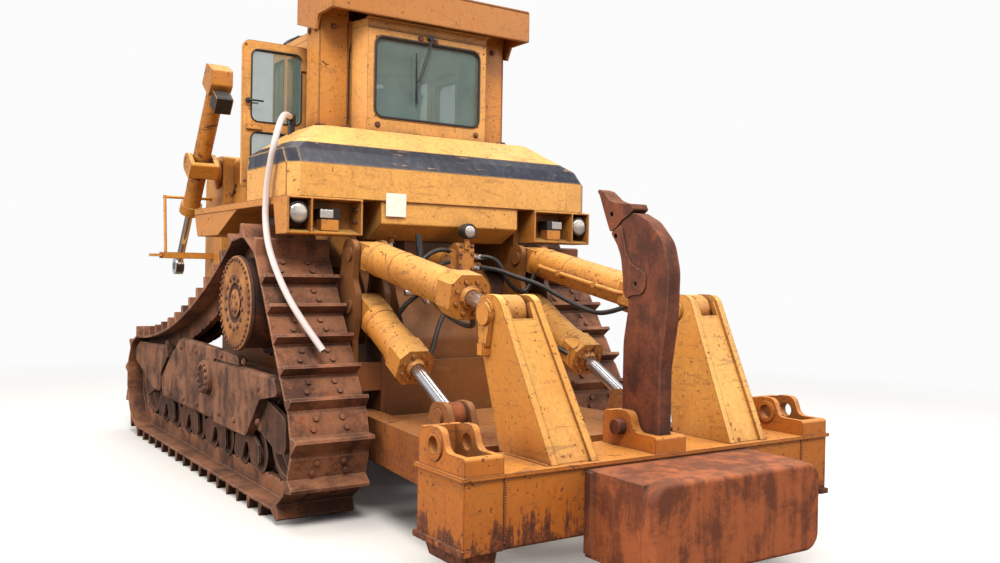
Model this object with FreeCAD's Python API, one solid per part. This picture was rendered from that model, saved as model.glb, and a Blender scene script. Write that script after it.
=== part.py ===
"""Track-type bulldozer with raised drive sprockets and a rear ripper, without its blade.

Millimetres. +Y points forward, +X to the machine's right, +Z up. Lengths along Y are
first measured from the rear idler's centre and heights from the grousers' tips; the
whole machine is then moved so that its origin is the middle of its footprint.
"""
import FreeCAD
import Part

import math
import os

from FreeCAD import Vector

# General
snug = 0.3                      # gap between a piece and what carries it
running = 6.0                   # least gap beside a moving piece
pin_clearance = 0.05            # round a pin in its hole
plate = 40.0                    # common plate of the welded frames

# Track chain
track_gauge = 2550.0            # centre to centre of the two tracks
shoe_width = 610.0
shoe_pitch = 260.0
shoe_thickness = 20.0
grouser_height = 93.0
grouser_width = 26.0
shoe_lip = 34.0                 # length of the lowered lip that the next shoe overlaps
shoe_lip_drop = 9.0
pin_to_shoe = 67.0              # from the pins' line out to the shoes' inner face
rail_depth = 70.0               # from the pins' line in to the rails' running face
rail_notch = 26.0               # depth of the notch between two links
rail_notch_length = 62.0
rail_width = 62.0
rail_spacing = 200.0            # centre to centre of the two rails of a chain
wheelbase = 4010.0              # rear idler centre to front idler centre
idler_reach = 420.0             # idler centre to the pins' line
sprocket_reach = 450.0          # sprocket centre to the pins' line
sprocket_forward = 660.0
sprocket_height = 1590.0
fender_top = sprocket_height + 838.0
sag_radius = 6300.0             # of the slack run between sprocket and front idler

# Idlers, rollers and sprockets
idler_flange_rise = 34.0
idler_slack = 4.0               # from an idler's tread to the rails
idler_width = 262.0
idler_web = 150.0
idler_hub_radius = 130.0
axle_radius = 62.0
axle_reach = 150.0              # from the track's centre line to an axle's end
roller_radius = 138.0
roller_flange_rise = 22.0
roller_first = 545.0
roller_last = wheelbase - roller_first
roller_count = 8
roller_width = 286.0
bogie_plate = 22.0
sprocket_teeth = 22
sprocket_width = 88.0
sprocket_tooth = 34.0
drive_drum_radius = 366.0
drive_cover_radius = 384.0
drive_cover_thickness = 46.0
drive_hub_radius = 120.0
drive_outer_face = 1606.0       # from the centre line to the cover's outer face

# Roller frames and guards
frame_inner = 1080.0            # from the centre line to the frame's inner side
frame_outer = 1466.0
frame_bottom = 560.0
frame_top = sprocket_height - 590.0
frame_chamfer = 70.0
guard_outer = 1536.0
guard_side = 60.0
trunnion_forward = 1560.0
trunnion_height = 900.0
trunnion_radius = 150.0
trunnion_reach = 1590.0
guard_low = 530.0
front_guard_low = 560.0
front_guard_top = 1075.0
rear_guard_front = 700.0
guard_top = sprocket_height - drive_cover_radius - 16.0

# Main case
case_half = 430.0
axle_stub = 200.0               # of the case's axle tube beside the case
tank_pad = (300.0, 250.0, 850.0)            # half width, rear and front of the pad under the tank
cab_pad = (300.0, 400.0, 980.0, 1090.0)     # inner, outer, rear and front of a pad under the cab
cab_post = (2100.0, 2200.0)     # rear and front of the cab's front supports
case_bottom = 640.0
case_rear = -60.0
case_step = 150.0               # rear face of the case's upper part
case_front = 1350.0
case_top = sprocket_height + 370.0
rail_half = 560.0
side_rail_width = 180.0
side_rail_bottom = 640.0
side_rail_top = 1180.0
side_rail_front = 4300.0
belly_thickness = 30.0
pivot_shaft_radius = 120.0
pivot_shaft_forward = 1350.0
pivot_shaft_height = 860.0
equalizer_forward = wheelbase - 710.0
equalizer_height = 820.0
equalizer_depth = 190.0
equalizer_width = 170.0
axle_tube_radius = 300.0

# Engine, hood and radiator guard
engine_rear = 2300.0
engine_front = 3700.0
engine_half = 520.0
engine_bottom = 1200.0
engine_top = 2950.0
hood_half = 620.0
hood_rear = 2330.0
hood_top_rear = 3130.0
hood_bottom = 2420.0
hood_edge = 90.0
hood_sheet = 30.0
guard_rear = 3790.0
guard_front = 4420.0
radiator_half = 740.0
radiator_bottom = 1050.0
radiator_top = 3130.0
grille_bars = 9
grille_bar = 24.0
grille_depth = 36.0
grille_border = 110.0

# Fuel tank
tank_half = 1430.0
tank_bevel = 84.0
tank_rear = -46.0
tank_front = 930.0
tank_crease = fender_top + 256.0
tank_shoulder = tank_crease + 118.0
tank_shoulder_inset = 105.0
tank_top = tank_crease + 356.0
tank_top_rear = 331.0
tank_top_half = 1063.0
tank_lower_half = 660.0
tank_lower_bottom = fender_top - 302.0
tank_lower_slant = 260.0

# Fenders and lamp boxes
fender_outer = 1450.0
fender_inner = 830.0
fender_edge = 55.0
fender_front = 2420.0
fender_box_rear = 1500.0
fender_box_bottom = fender_top - 263.0
fender_box_rise = 500.0         # length of the box's slanted rear end
lamp_box_rear = -50.0
lamp_box_front = 190.0
lamp_box_wall = 40.0
lamp_recess = 30.0              # from the box's rear edge to the lamp's glass
lamp_drop = 125.0               # from the fender's top to the lamps' middle
lamp_box_bottom = fender_top - 288.0
lamp_box_divider = 1255.0
lamp_radius = 80.0
lamp_depth = 70.0
work_lamp_x = 1085.0            # small rectangular lamp in each box's inner bay
work_lamp_width = 150.0
work_lamp_height = 80.0

tank_skirt_bottom = fender_top + snug

# Cab, roof and guard against rolling over
cab_rear = 410.0
cab_rear_half = 590.0
cab_waist_half = 640.0
cab_waist_rear = 600.0
cab_waist_front = 930.0
cab_side_half = 800.0
cab_side_rear = 1000.0
cab_side_front = 2080.0
cab_front = 2290.0
cab_front_half = 560.0
cab_floor = fender_top + 22.0
cab_wall = 50.0
cab_top = tank_top + 950.0
cab_roof_thickness = 60.0
cab_deck_gap = 12.0
window_bottom = tank_top + 133.0
window_top = tank_top + 810.0
rear_window_half = 515.0
glass = 8.0
window_corner = 70.0
door_rear = 1075.0
door_front = 1690.0
door_bottom = cab_floor + 110.0
door_top = cab_top - 160.0
door_thickness = 44.0
door_frame = 75.0
door_kick_low = door_bottom + 200.0      # lower window of a door
door_kick_high = door_bottom + 480.0
door_pane_low = door_bottom + 570.0      # upper window of a door
door_handle_height = door_bottom + 520.0
hinge_radius = 16.0
post_inner = 662.0
post_outer = 930.0
post_rear = 640.0
post_front = 900.0
canopy_half = 975.0
canopy_rear = 285.0
canopy_front = 2330.0
canopy_bottom = cab_top
canopy_top = canopy_bottom + 290.0
canopy_apron = 140.0            # drop of the side plates below the roof's edge
canopy_apron_rear = 560.0
canopy_apron_front = 1180.0
canopy_apron_slant = 80.0
canopy_wall = 30.0
seat_width = 520.0
seat_rear = 900.0
seat_top = cab_floor + 550.0
dash_rear = 2020.0
dash_front = 2160.0
dash_half = 380.0
dash_rise = 590.0               # above the cab's floor

# Stacks on the hood
stack_side = 230.0
stack_forward = 2980.0
stack_radius = 95.0
stack_top = 4060.0
stack_pipe_radius = 70.0
stack_pipe_top = 4290.0
cleaner_radius = 150.0
cleaner_top = 3780.0

# Blade lift cylinders
blade_cyl_side = 1050.0
blade_cyl_head = (2985.0, 3830.0)       # along Y, height
blade_cyl_eye = (4430.0, 1880.0)
blade_pivot_distance = 1030.0           # from the head, along the cylinder
blade_barrel_below = 640.0              # barrel below the pivot
blade_barrel_radius = 92.0
blade_gland_length = 110.0
blade_gland_radius = 116.0
blade_head_width = 220.0
blade_rod_radius = 42.0
blade_eye_radius = 95.0
blade_eye_bore = 45.0
blade_eye_width = 90.0
blade_yoke_ear = 50.0
blade_trunnion_radius = 70.0
lamp_cube = 175.0
bracket_forward = 4170.0
bracket_height = 2000.0
bracket_depth = 70.0
bracket_reach = 1330.0
handrail_radius = 17.0
handrail_height = 2680.0
handrail_forward = 4200.0

# Ripper linkage
mount_front = 150.0
mount_rear = -130.0
mount_cross = (930.0, 1150.0)   # low and high edge of the plate between the ears
mount_web_top = 1290.0
cylinder_side = 790.0           # centre line to the ripper's cylinders
head_width = 190.0              # of a piece that turns between two ears
ear = 50.0
mount_pin_radius = 55.0
link_pivot = (20.0, 640.0)              # along Y, height
link_pin = (-1990.0, 600.0)
link_front_gap = 370.0          # from the link's pivot to its box
link_rear_gap = 210.0           # from its box to the beam's pins
link_half_rear = 1040.0
link_below = 200.0
link_above = 120.0
beam_front = -2157.0
beam_rear = -2655.0
beam_half = 1470.0
beam_bottom = 385.0
beam_top = 800.0
beam_lip = 22.0
pocket_half = 125.0
pocket_side = 1345.0
pocket_slot_half = 57.0
pocket_inner_half = 80.0        # half the collar's inner width above the beam
pocket_slot_front = -2225.0
pocket_slot_rear = -2610.0
pocket_top = 1010.0
pocket_rim = 900.0
pocket_bore = (-2345.0, 925.0)          # along Y, height
pocket_bore_radius = 48.05
pocket_leg_bottom = 300.0
pocket_band = 34.0              # band round the beam's end below
pocket_band_out = 20.0
pocket_boss_radius = 84.0
pocket_boss = 12.0
tower_wall = 50.0
tower_flange = 36.0
tower_inner_face = cylinder_side - 112.0    # the plates' faces beside the rod's eye, at the pin
tower_outer_face = cylinder_side + 94.0
tower_lean = 0.10               # sideways step of the inner plate for each step down
tower_lean_outer = 0.06
tower_recess = 16.0             # of the rear plate behind the side plates' edges
tower_eye_notch = 150.0         # width of the rear plate's notch for the rod's eye
tower_boss_radius = 92.0
tower_boss = 24.0
tower_plate_drop = 40.0         # from the tower's rear top corner down to its rear plate
tower_notch_depth = 150.0       # from that corner down to the foot of the eye's notch
tower_head = 118.0              # the tower's top above its pin
tower_cap_radius = 72.0
tower_notch = 290.0             # from the tower's pin down to the front plate's top
tower_pin = (-2030.0, 1625.0)           # along Y, height
tilt_head = (-60.0, 1997.0)
tilt_barrel_start = 150.0       # from the head pin
tilt_barrel_radius = 128.0
tilt_gland_half = 148.0
tilt_barrel_end = 1560.0
tilt_rod_radius = 52.0
tilt_eye_radius = 112.0
tilt_eye_width = 130.0
lift_head = (-70.0, 1590.0)
lift_eye = (-1400.0, 905.0)
lift_barrel_start = 205.0
lift_barrel_radius = 128.0
lift_gland_half = 140.0
lift_barrel_end = 900.0
lift_rod_radius = 48.0
lift_eye_radius = 92.0
lift_eye_width = 110.0
gland_length = 190.0
gland_bevel = 0.55              # half width of a flat, as a share of the gland's half width
tilt_rod_room = 500.0           # travel left behind the rod
lift_rod_room = 465.0
cylinder_wall = 30.0
valve_side = 95.0
push_half = 655.0
push_rear = -3130.0
push_bottom = 270.0
push_top = 768.0
push_plate_half = 662.0
push_plate_bottom = 262.0
push_plate_top = 782.0
push_plate_corner = 105.0
push_plate_edge = 26.0          # rounding of the plate's rear edges
push_plate_thickness = 105.0
shank_thickness = 100.0
shank_front = -2262.0
shank_rear = -2598.0
shank_bottom = 345.0
shank_pin_radius = 48.0
shank_tip = 2240.0              # forward end of the shank's nose, which points up as it is stored
# Outlines of the nose: forward of the shank's front edge (its rear edge for the heel),
# above the nose's middle, and the corner's radius
shank_nose = [
    (-38.0, -590.0, 300), (-34.0, -440.0, 200), (-8.0, -250.0, 200), (47.0, -135.0, 100),
]
shank_crown = [(97.0, -45.0, 25), (22.0, 0.0, 60), (-83.0, 28.0, 80)]
shank_heel = [(118.0, -35.0, 150), (-12.0, -165.0, 200), (-60.0, -340.0, 300), (-52.0, -640.0, 400)]
tooth_outline = [
    (332.0, 208.0, 12), (232.0, 181.0, 60), (154.0, 118.0, 60), (87.0, 96.0, 60), (-68.0, 82.0, 14),
    (-88.0, 48.0, 10), (-40.0, 12.0, 20), (27.0, -18.0, 20), (72.0, -60.0, 20), (134.0, -92.0, 14),
    (201.0, 26.0, 200), (272.0, 160.0, 60),
]
protector_outline = [
    (128.0, -96.0, 12), (68.0, -68.0, 20), (26.0, -40.0, 20), (6.0, -140.0, 60), (-20.0, -220.0, 60),
    (-68.0, -295.0, 60), (-208.0, -355.0, 60), (-200.0, -485.0, 70), (-78.0, -495.0, 30),
    (-28.0, -518.0, 14), (2.0, -470.0, 40), (4.0, -390.0, 200), (26.0, -250.0, 200), (66.0, -174.0, 100),
]
tip_pins = [(125.0, 22.0), (82.0, -120.0), (-116.0, -425.0)]
tooth_reach = 362.0             # from the shank's front edge to where the tooth is narrowest
tip_cheek = 12.0                # how far the tooth and protector stand out beside the shank
tip_half = 30.0                 # half the tooth's width at its point
tip_pin_radius = 17.0

# Loose hose (x, y, z), from the fitting on the tank to its open end on the track
hose_radius = 25.0
hose_stub_radius = 30.0
hose_route = [
    (-1105.0, 800.0, tank_top + 110.0), (-1215.0, 620.0, tank_top + 105.0), (-1330.0, 400.0, tank_top + 45.0),
    (-1425.0, 230.0, tank_top - 65.0), (-1474.0, 190.0, tank_top - 210.0),
    (-1482.0, 245.0, tank_crease + 6.0),
    (-1484.0, 305.0, 2530.0), (-1484.0, 330.0, 2370.0),
    (-1488.0, 316.0, 2240.0), (-1511.0, 190.0, 2056.0), (-1496.0, 69.0, 1880.0), (-1461.0, -48.0, 1708.0),
    (-1400.0, -168.0, 1528.0), (-1270.0, -335.0, 1275.0),
]
lamp_post_height = fender_top - 238.0
lamp_clear = 20.0               # from the tank's rear face to the lamp on the valve
lamp_length = 90.0
valve_half = 75.0
valve_dome = 95.0               # radius of the round cover beside the valve
valve_low = case_top - 230.0
valve_rear = -110.0
valve_top = tank_lower_bottom - 6.0


def polygon_edges(corners, place):
    """Edges through corners (a, b, radius), each corner rounded by its radius."""
    count = len(corners)
    starts = []
    ends = []
    arcs = []
    for index in range(count):
        before = corners[index - 1]
        here = corners[index]
        after = corners[(index + 1) % count]
        radius = here[2] if len(here) > 2 else 0.0
        if radius <= 0.0:
            starts.append((here[0], here[1]))
            ends.append((here[0], here[1]))
            arcs.append(None)
            continue
        back = (before[0] - here[0], before[1] - here[1])
        ahead = (after[0] - here[0], after[1] - here[1])
        back_length = math.hypot(*back)
        ahead_length = math.hypot(*ahead)
        back = (back[0] / back_length, back[1] / back_length)
        ahead = (ahead[0] / ahead_length, ahead[1] / ahead_length)
        cosine = back[0] * ahead[0] + back[1] * ahead[1]
        half = math.acos(max(-1.0, min(1.0, cosine))) / 2.0
        reach = radius / math.tan(half)
        bisector = (back[0] + ahead[0], back[1] + ahead[1])
        size = math.hypot(*bisector)
        middle = radius / math.sin(half) - radius
        starts.append((here[0] + back[0] * reach, here[1] + back[1] * reach))
        ends.append((here[0] + ahead[0] * reach, here[1] + ahead[1] * reach))
        arcs.append((here[0] + bisector[0] / size * middle, here[1] + bisector[1] / size * middle))
    edges = []
    for index in range(count):
        if arcs[index]:
            start = place(*starts[index])
            end = place(*ends[index])
            edges.append(Part.Arc(start, place(*arcs[index]), end).toShape())
        here = place(*ends[index])
        there = place(*starts[(index + 1) % count])
        if here.distanceToPoint(there) > 1e-6:
            edges.append(Part.LineSegment(here, there).toShape())
    return edges


def prism(axis, corners, low, high):
    """Solid of an outline swept along an axis from low to high.

    The corners are (y, z), (x, z) or (x, y) for the axes X, Y and Z, with an
    optional third value, the corner's radius.
    """
    places = {
        "X": (lambda a, b: Vector(low, a, b), Vector(high - low, 0, 0)),
        "Y": (lambda a, b: Vector(a, low, b), Vector(0, high - low, 0)),
        "Z": (lambda a, b: Vector(a, b, low), Vector(0, 0, high - low)),
    }
    place, sweep = places[axis]
    wire = Part.Wire(Part.__sortEdges__(polygon_edges(corners, place)))
    return Part.Face(wire).extrude(sweep)


def block(x_range, y_range, z_range):
    """Box between two values on each axis."""
    low = Vector(min(x_range), min(y_range), min(z_range))
    size = [abs(pair[1] - pair[0]) for pair in (x_range, y_range, z_range)]
    return Part.makeBox(size[0], size[1], size[2], low)


def shaft(radius, x_range, centre):
    """Cylinder along X about centre (y, z)."""
    low, high = min(x_range), max(x_range)
    return Part.makeCylinder(radius, high - low, Vector(low, centre[0], centre[1]), Vector(1, 0, 0))


def bar(radius, start, end):
    """Cylinder from one point to another."""
    start = Vector(*start)
    way = Vector(*end) - start
    return Part.makeCylinder(radius, way.Length, start, way)


def turned(profile, x_centre, centre):
    """Solid turned about the X line through centre (y, z) from points (x, radius)."""
    points = [Vector(x_centre + x, centre[0], centre[1] + radius) for x, radius in profile]
    face = Part.Face(Part.makePolygon(points + points[:1]))
    return face.revolve(Vector(0, centre[0], centre[1]), Vector(1, 0, 0), 360)


def mirrored(shape):
    """The same piece on the other side of the machine."""
    return shape.mirror(Vector(0, 0, 0), Vector(1, 0, 0))


def joined(*shapes):
    """One solid of several that meet or overlap."""
    shapes = list(shapes)
    return shapes[0].fuse(shapes[1:]).removeSplitter()


def group(*shapes):
    """Several solids in one piece's file."""
    solids = []
    for shape in shapes:
        solids.extend(shape.Solids)
    return Part.makeCompound(solids)


def along(start, end, distance):
    """Point (y, z) at a distance from start towards end."""
    length = math.dist(start, end)
    return tuple(s + (e - s) * distance / length for s, e in zip(start, end))


nodes = {}


def add(name, shape):
    nodes[name] = shape


def add_pair(name, shape):
    """A piece modelled on the right side and its mirror image, as two pieces."""
    add(name + "_right", shape)
    add(name + "_left", mirrored(shape))


def add_both(name, *shapes):
    """Pieces modelled on the right side and their mirror images, kept in one file."""
    add(name, group(*shapes, *[mirrored(shape) for shape in shapes]))


# Track chain: a closed path of straight runs and arcs, followed shoe by shoe
track_side = track_gauge / 2.0
pin_height = pin_to_shoe + shoe_thickness + grouser_height
idler_height = pin_height + idler_reach
rear_idler = (0.0, idler_height)
front_idler = (wheelbase, idler_height)
sprocket = (sprocket_forward, sprocket_height)


def slack_centre():
    """Centre of the sagging run's arc, outside both wheels that it touches."""
    to_sprocket = sag_radius + sprocket_reach
    to_idler = sag_radius + idler_reach
    span = math.dist(sprocket, front_idler)
    ahead = (to_sprocket**2 - to_idler**2 + span**2) / (2.0 * span)
    rise = math.sqrt(to_sprocket**2 - ahead**2)
    way = ((front_idler[0] - sprocket[0]) / span, (front_idler[1] - sprocket[1]) / span)
    return (sprocket[0] + way[0] * ahead - way[1] * rise, sprocket[1] + way[1] * ahead + way[0] * rise)


def path_pieces():
    """The pins' line as runs (kind, ...), clockwise seen from the machine's left."""
    slack = slack_centre()
    to_sprocket = math.atan2(slack[1] - sprocket[1], slack[0] - sprocket[0])
    to_idler = math.atan2(slack[1] - front_idler[1], slack[0] - front_idler[0])
    run = math.atan2(sprocket[1] - rear_idler[1], sprocket[0] - rear_idler[0])
    span = math.dist(rear_idler, sprocket)
    tangent = run + math.pi / 2.0 + math.asin((sprocket_reach - idler_reach) / span)
    down = -math.pi / 2.0
    start = (rear_idler[0] + idler_reach * math.cos(tangent), rear_idler[1] + idler_reach * math.sin(tangent))
    end = (sprocket[0] + sprocket_reach * math.cos(tangent), sprocket[1] + sprocket_reach * math.sin(tangent))
    return [
        ("line", (front_idler[0], pin_height), (rear_idler[0], pin_height)),
        ("arc", rear_idler, idler_reach, down, tangent - 2.0 * math.pi, 1.0),
        ("line", start, end),
        ("arc", sprocket, sprocket_reach, tangent, to_sprocket, 1.0),
        ("arc", slack, sag_radius, to_sprocket - math.pi, to_idler - math.pi, -1.0),
        ("arc", front_idler, idler_reach, to_idler, down, 1.0),
    ]


def piece_length(piece):
    if piece[0] == "line":
        return math.dist(piece[1], piece[2])
    return piece[2] * abs(piece[4] - piece[3])


def path_point(pieces, distance):
    """Point, direction of travel and outward direction at a distance along the path."""
    for piece in pieces:
        length = piece_length(piece)
        if distance <= length:
            break
        distance -= length
    if piece[0] == "line":
        travel = ((piece[2][0] - piece[1][0]) / length, (piece[2][1] - piece[1][1]) / length)
        point = (piece[1][0] + travel[0] * distance, piece[1][1] + travel[1] * distance)
        return point, travel, (travel[1] * -1.0, travel[0])
    angle = piece[3] + (piece[4] - piece[3]) * distance / length
    spread = (math.cos(angle), math.sin(angle))
    point = (piece[1][0] + spread[0] * piece[2], piece[1][1] + spread[1] * piece[2])
    outward = (spread[0] * piece[5], spread[1] * piece[5])
    return point, (outward[1], -outward[0]), outward


pieces = path_pieces()
path_length = sum(piece_length(piece) for piece in pieces)
shoe_count = round(path_length / shoe_pitch)
shoe_step = path_length / shoe_count
half_step = shoe_step / 2.0


def shoe_stations():
    """Point, travel and outward direction at the middle of each shoe.

    One shoe's middle is at the end of the bottom run, so that no tilted grouser
    reaches below the flat ones.
    """
    first = wheelbase % shoe_step
    return [path_point(pieces, first + index * shoe_step) for index in range(shoe_count)]


def side_outline(stations, profile):
    """Corners (y, z) of a profile (along, outward) repeated at each station."""
    corners = []
    for point, travel, outward in stations:
        for ahead, out in profile:
            corners.append((point[0] + travel[0] * ahead + outward[0] * out,
                            point[1] + travel[1] * ahead + outward[1] * out))
    return corners


def ring_prism(outer, inner, low, high):
    """Loop between two outlines (y, z), swept along X."""
    def wire(corners):
        points = [Vector(low, y, z) for y, z in corners]
        return Part.makePolygon(points + points[:1])
    face = Part.Face([wire(outer), wire(inner)])
    return face.extrude(Vector(high - low, 0, 0))


def make_tracks():
    stations = shoe_stations()
    top = pin_to_shoe + shoe_thickness
    tip = top + grouser_height
    # along the travel, outward from the pins' line
    shoe_profile = [
        (-half_step + 6.0, tip),
        (-half_step + 6.0 + grouser_width, tip),
        (-half_step + 12.0 + 2.0 * grouser_width, top),
        (half_step - shoe_lip, top),
        (half_step - shoe_lip + 8.0, top - shoe_lip_drop),
        (half_step - 2.0, top - shoe_lip_drop),
    ]
    inner_profile = [(-half_step + 6.0, pin_to_shoe), (half_step - 6.0, pin_to_shoe)]
    rail_profile = [
        (-half_step + rail_notch_length / 2.0, -rail_depth),
        (half_step - rail_notch_length / 2.0, -rail_depth),
        (half_step - 8.0, -rail_depth + rail_notch),
    ]
    loop = ring_prism(side_outline(stations, shoe_profile), side_outline(stations, inner_profile),
                      track_side - shoe_width / 2.0, track_side + shoe_width / 2.0)
    rails = []
    for side in (-1.0, 1.0):
        middle = track_side + side * rail_spacing / 2.0
        rails.append(ring_prism(side_outline(stations, [(a, o - snug) for a, o in inner_profile]),
                                side_outline(stations, rail_profile),
                                middle - rail_width / 2.0, middle + rail_width / 2.0))
    add_pair("track", group(loop, *rails))


rail_face = rail_depth + snug       # from the pins' line to the wheels' treads


def make_idlers():
    tread = idler_reach - rail_depth - idler_slack
    flange_half = rail_spacing / 2.0 - rail_width / 2.0 - running
    half = idler_width / 2.0
    web = idler_web / 2.0
    profile = [
        (-half, tread - 40.0), (-half, tread), (-flange_half, tread),
        (8.0 - flange_half, tread + idler_flange_rise), (flange_half - 8.0, tread + idler_flange_rise),
        (flange_half, tread), (half, tread), (half, tread - 40.0),
        (web, tread - 60.0), (web, idler_hub_radius), (axle_reach - 30.0, idler_hub_radius),
        (axle_reach - 30.0, axle_radius), (axle_reach, axle_radius), (axle_reach, 0.0),
        (-axle_reach, 0.0), (-axle_reach, axle_radius), (30.0 - axle_reach, axle_radius),
        (30.0 - axle_reach, idler_hub_radius), (-web, idler_hub_radius), (-web, tread - 60.0),
    ]
    add_both("idlers", *[turned(profile, track_side, centre) for centre in (rear_idler, front_idler)])


roller_height = pin_height + rail_face + roller_radius
roller_step = (roller_last - roller_first) / (roller_count - 1)
bogie_inner = roller_width / 2.0 + 24.0


def make_rollers():
    half = roller_width / 2.0
    flange_in = rail_spacing / 2.0 + rail_width / 2.0 + 4.0
    waist = rail_spacing / 2.0 - rail_width / 2.0 - 4.0
    profile = [
        (-half, roller_radius + roller_flange_rise), (-flange_in, roller_radius + roller_flange_rise),
        (-flange_in, roller_radius), (-waist, roller_radius), (-waist, roller_radius - 26.0),
        (waist, roller_radius - 26.0), (waist, roller_radius), (flange_in, roller_radius),
        (flange_in, roller_radius + roller_flange_rise), (half, roller_radius + roller_flange_rise),
        (half, axle_radius), (bogie_inner - snug, axle_radius), (bogie_inner - snug, 0.0),
        (snug - bogie_inner, 0.0), (snug - bogie_inner, axle_radius), (-half, axle_radius),
    ]
    rollers = []
    bogies = []
    for index in range(roller_count):
        rollers.append(turned(profile, track_side, (roller_first + index * roller_step, roller_height)))
    for index in range(roller_count // 2):
        rear = roller_first + 2 * index * roller_step
        front = rear + roller_step
        bogies.append(make_bogie(rear, front))
    add_both("track_rollers", *rollers)
    add_both("bogies", *bogies)


def make_bogie(rear, front):
    """Rocker that carries two rollers between its cheek plates."""
    foot = 92.0
    top = frame_bottom - snug
    middle = (rear + front) / 2.0
    cheek = [
        (rear - foot, roller_height - foot, 40), (rear + foot, roller_height - foot, 40),
        (middle - 30.0, roller_height + 60.0), (middle + 30.0, roller_height + 60.0),
        (front - foot, roller_height - foot, 40), (front + foot, roller_height - foot, 40),
        (front + foot - 20.0, roller_height + 80.0), (middle + 105.0, top), (middle - 105.0, top),
        (rear - foot + 20.0, roller_height + 80.0),
    ]
    inner = prism("X", cheek, track_side - bogie_inner - bogie_plate, track_side - bogie_inner)
    outer = prism("X", cheek, track_side + bogie_inner, track_side + bogie_inner + bogie_plate)
    roller_rim = roller_radius + roller_flange_rise + running
    clear = math.sqrt(max(0.0, roller_rim**2 - (roller_step / 2.0 - 60.0)**2))
    bridge = block((track_side - bogie_inner, track_side + bogie_inner), (middle - 60.0, middle + 60.0),
                   (roller_height + clear, top))
    return joined(inner, bridge, outer)


def make_final_drives():
    inner_end = case_half + axle_stub
    cover_back = drive_outer_face - drive_cover_thickness
    ring_half = sprocket_width / 2.0
    hub = turned([
        (inner_end, 0.0), (inner_end, axle_tube_radius), (track_side - 215.0, axle_tube_radius),
        (track_side - 170.0, drive_drum_radius), (cover_back, drive_drum_radius),
        (cover_back, drive_cover_radius - 18.0), (cover_back + 14.0, drive_cover_radius),
        (drive_outer_face - 16.0, drive_cover_radius), (drive_outer_face, drive_cover_radius - 40.0),
        (drive_outer_face, drive_hub_radius + 40.0), (drive_outer_face - 14.0, drive_hub_radius + 30.0),
        (drive_outer_face - 14.0, drive_hub_radius), (drive_outer_face, drive_hub_radius - 20.0),
        (drive_outer_face, 0.0),
    ], 0.0, sprocket)
    add_both("final_drives", hub)
    root = drive_drum_radius + 34.0
    teeth = []
    for index in range(sprocket_teeth):
        for turn, radius in ((0.14, root), (0.38, root + sprocket_tooth), (0.62, root + sprocket_tooth),
                             (0.86, root)):
            angle = 2.0 * math.pi * (index + turn) / sprocket_teeth
            teeth.append((sprocket[0] + radius * math.cos(angle), sprocket[1] + radius * math.sin(angle)))
    ring = prism("X", teeth, track_side - ring_half, track_side + ring_half)
    bore = shaft(drive_drum_radius + snug, (track_side - ring_half - 1.0, track_side + ring_half + 1.0),
                 sprocket)
    add_both("sprockets", ring.cut(bore))


def section_body(profile, x_low, x_high, low, top, chamfer):
    """Side profile swept across, with its outer and inner top edges chamfered."""
    ys = [corner[0] for corner in profile]
    body = prism("X", profile, x_low, x_high)
    section = [
        (x_low, low), (x_high - 30.0, low), (x_high, low + 30.0), (x_high, top - chamfer),
        (x_high - chamfer, top), (x_low + chamfer / 2.0, top), (x_low, top - chamfer / 2.0),
    ]
    return body.common(prism("Y", section, min(ys) - 1.0, max(ys) + 1.0))


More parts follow.
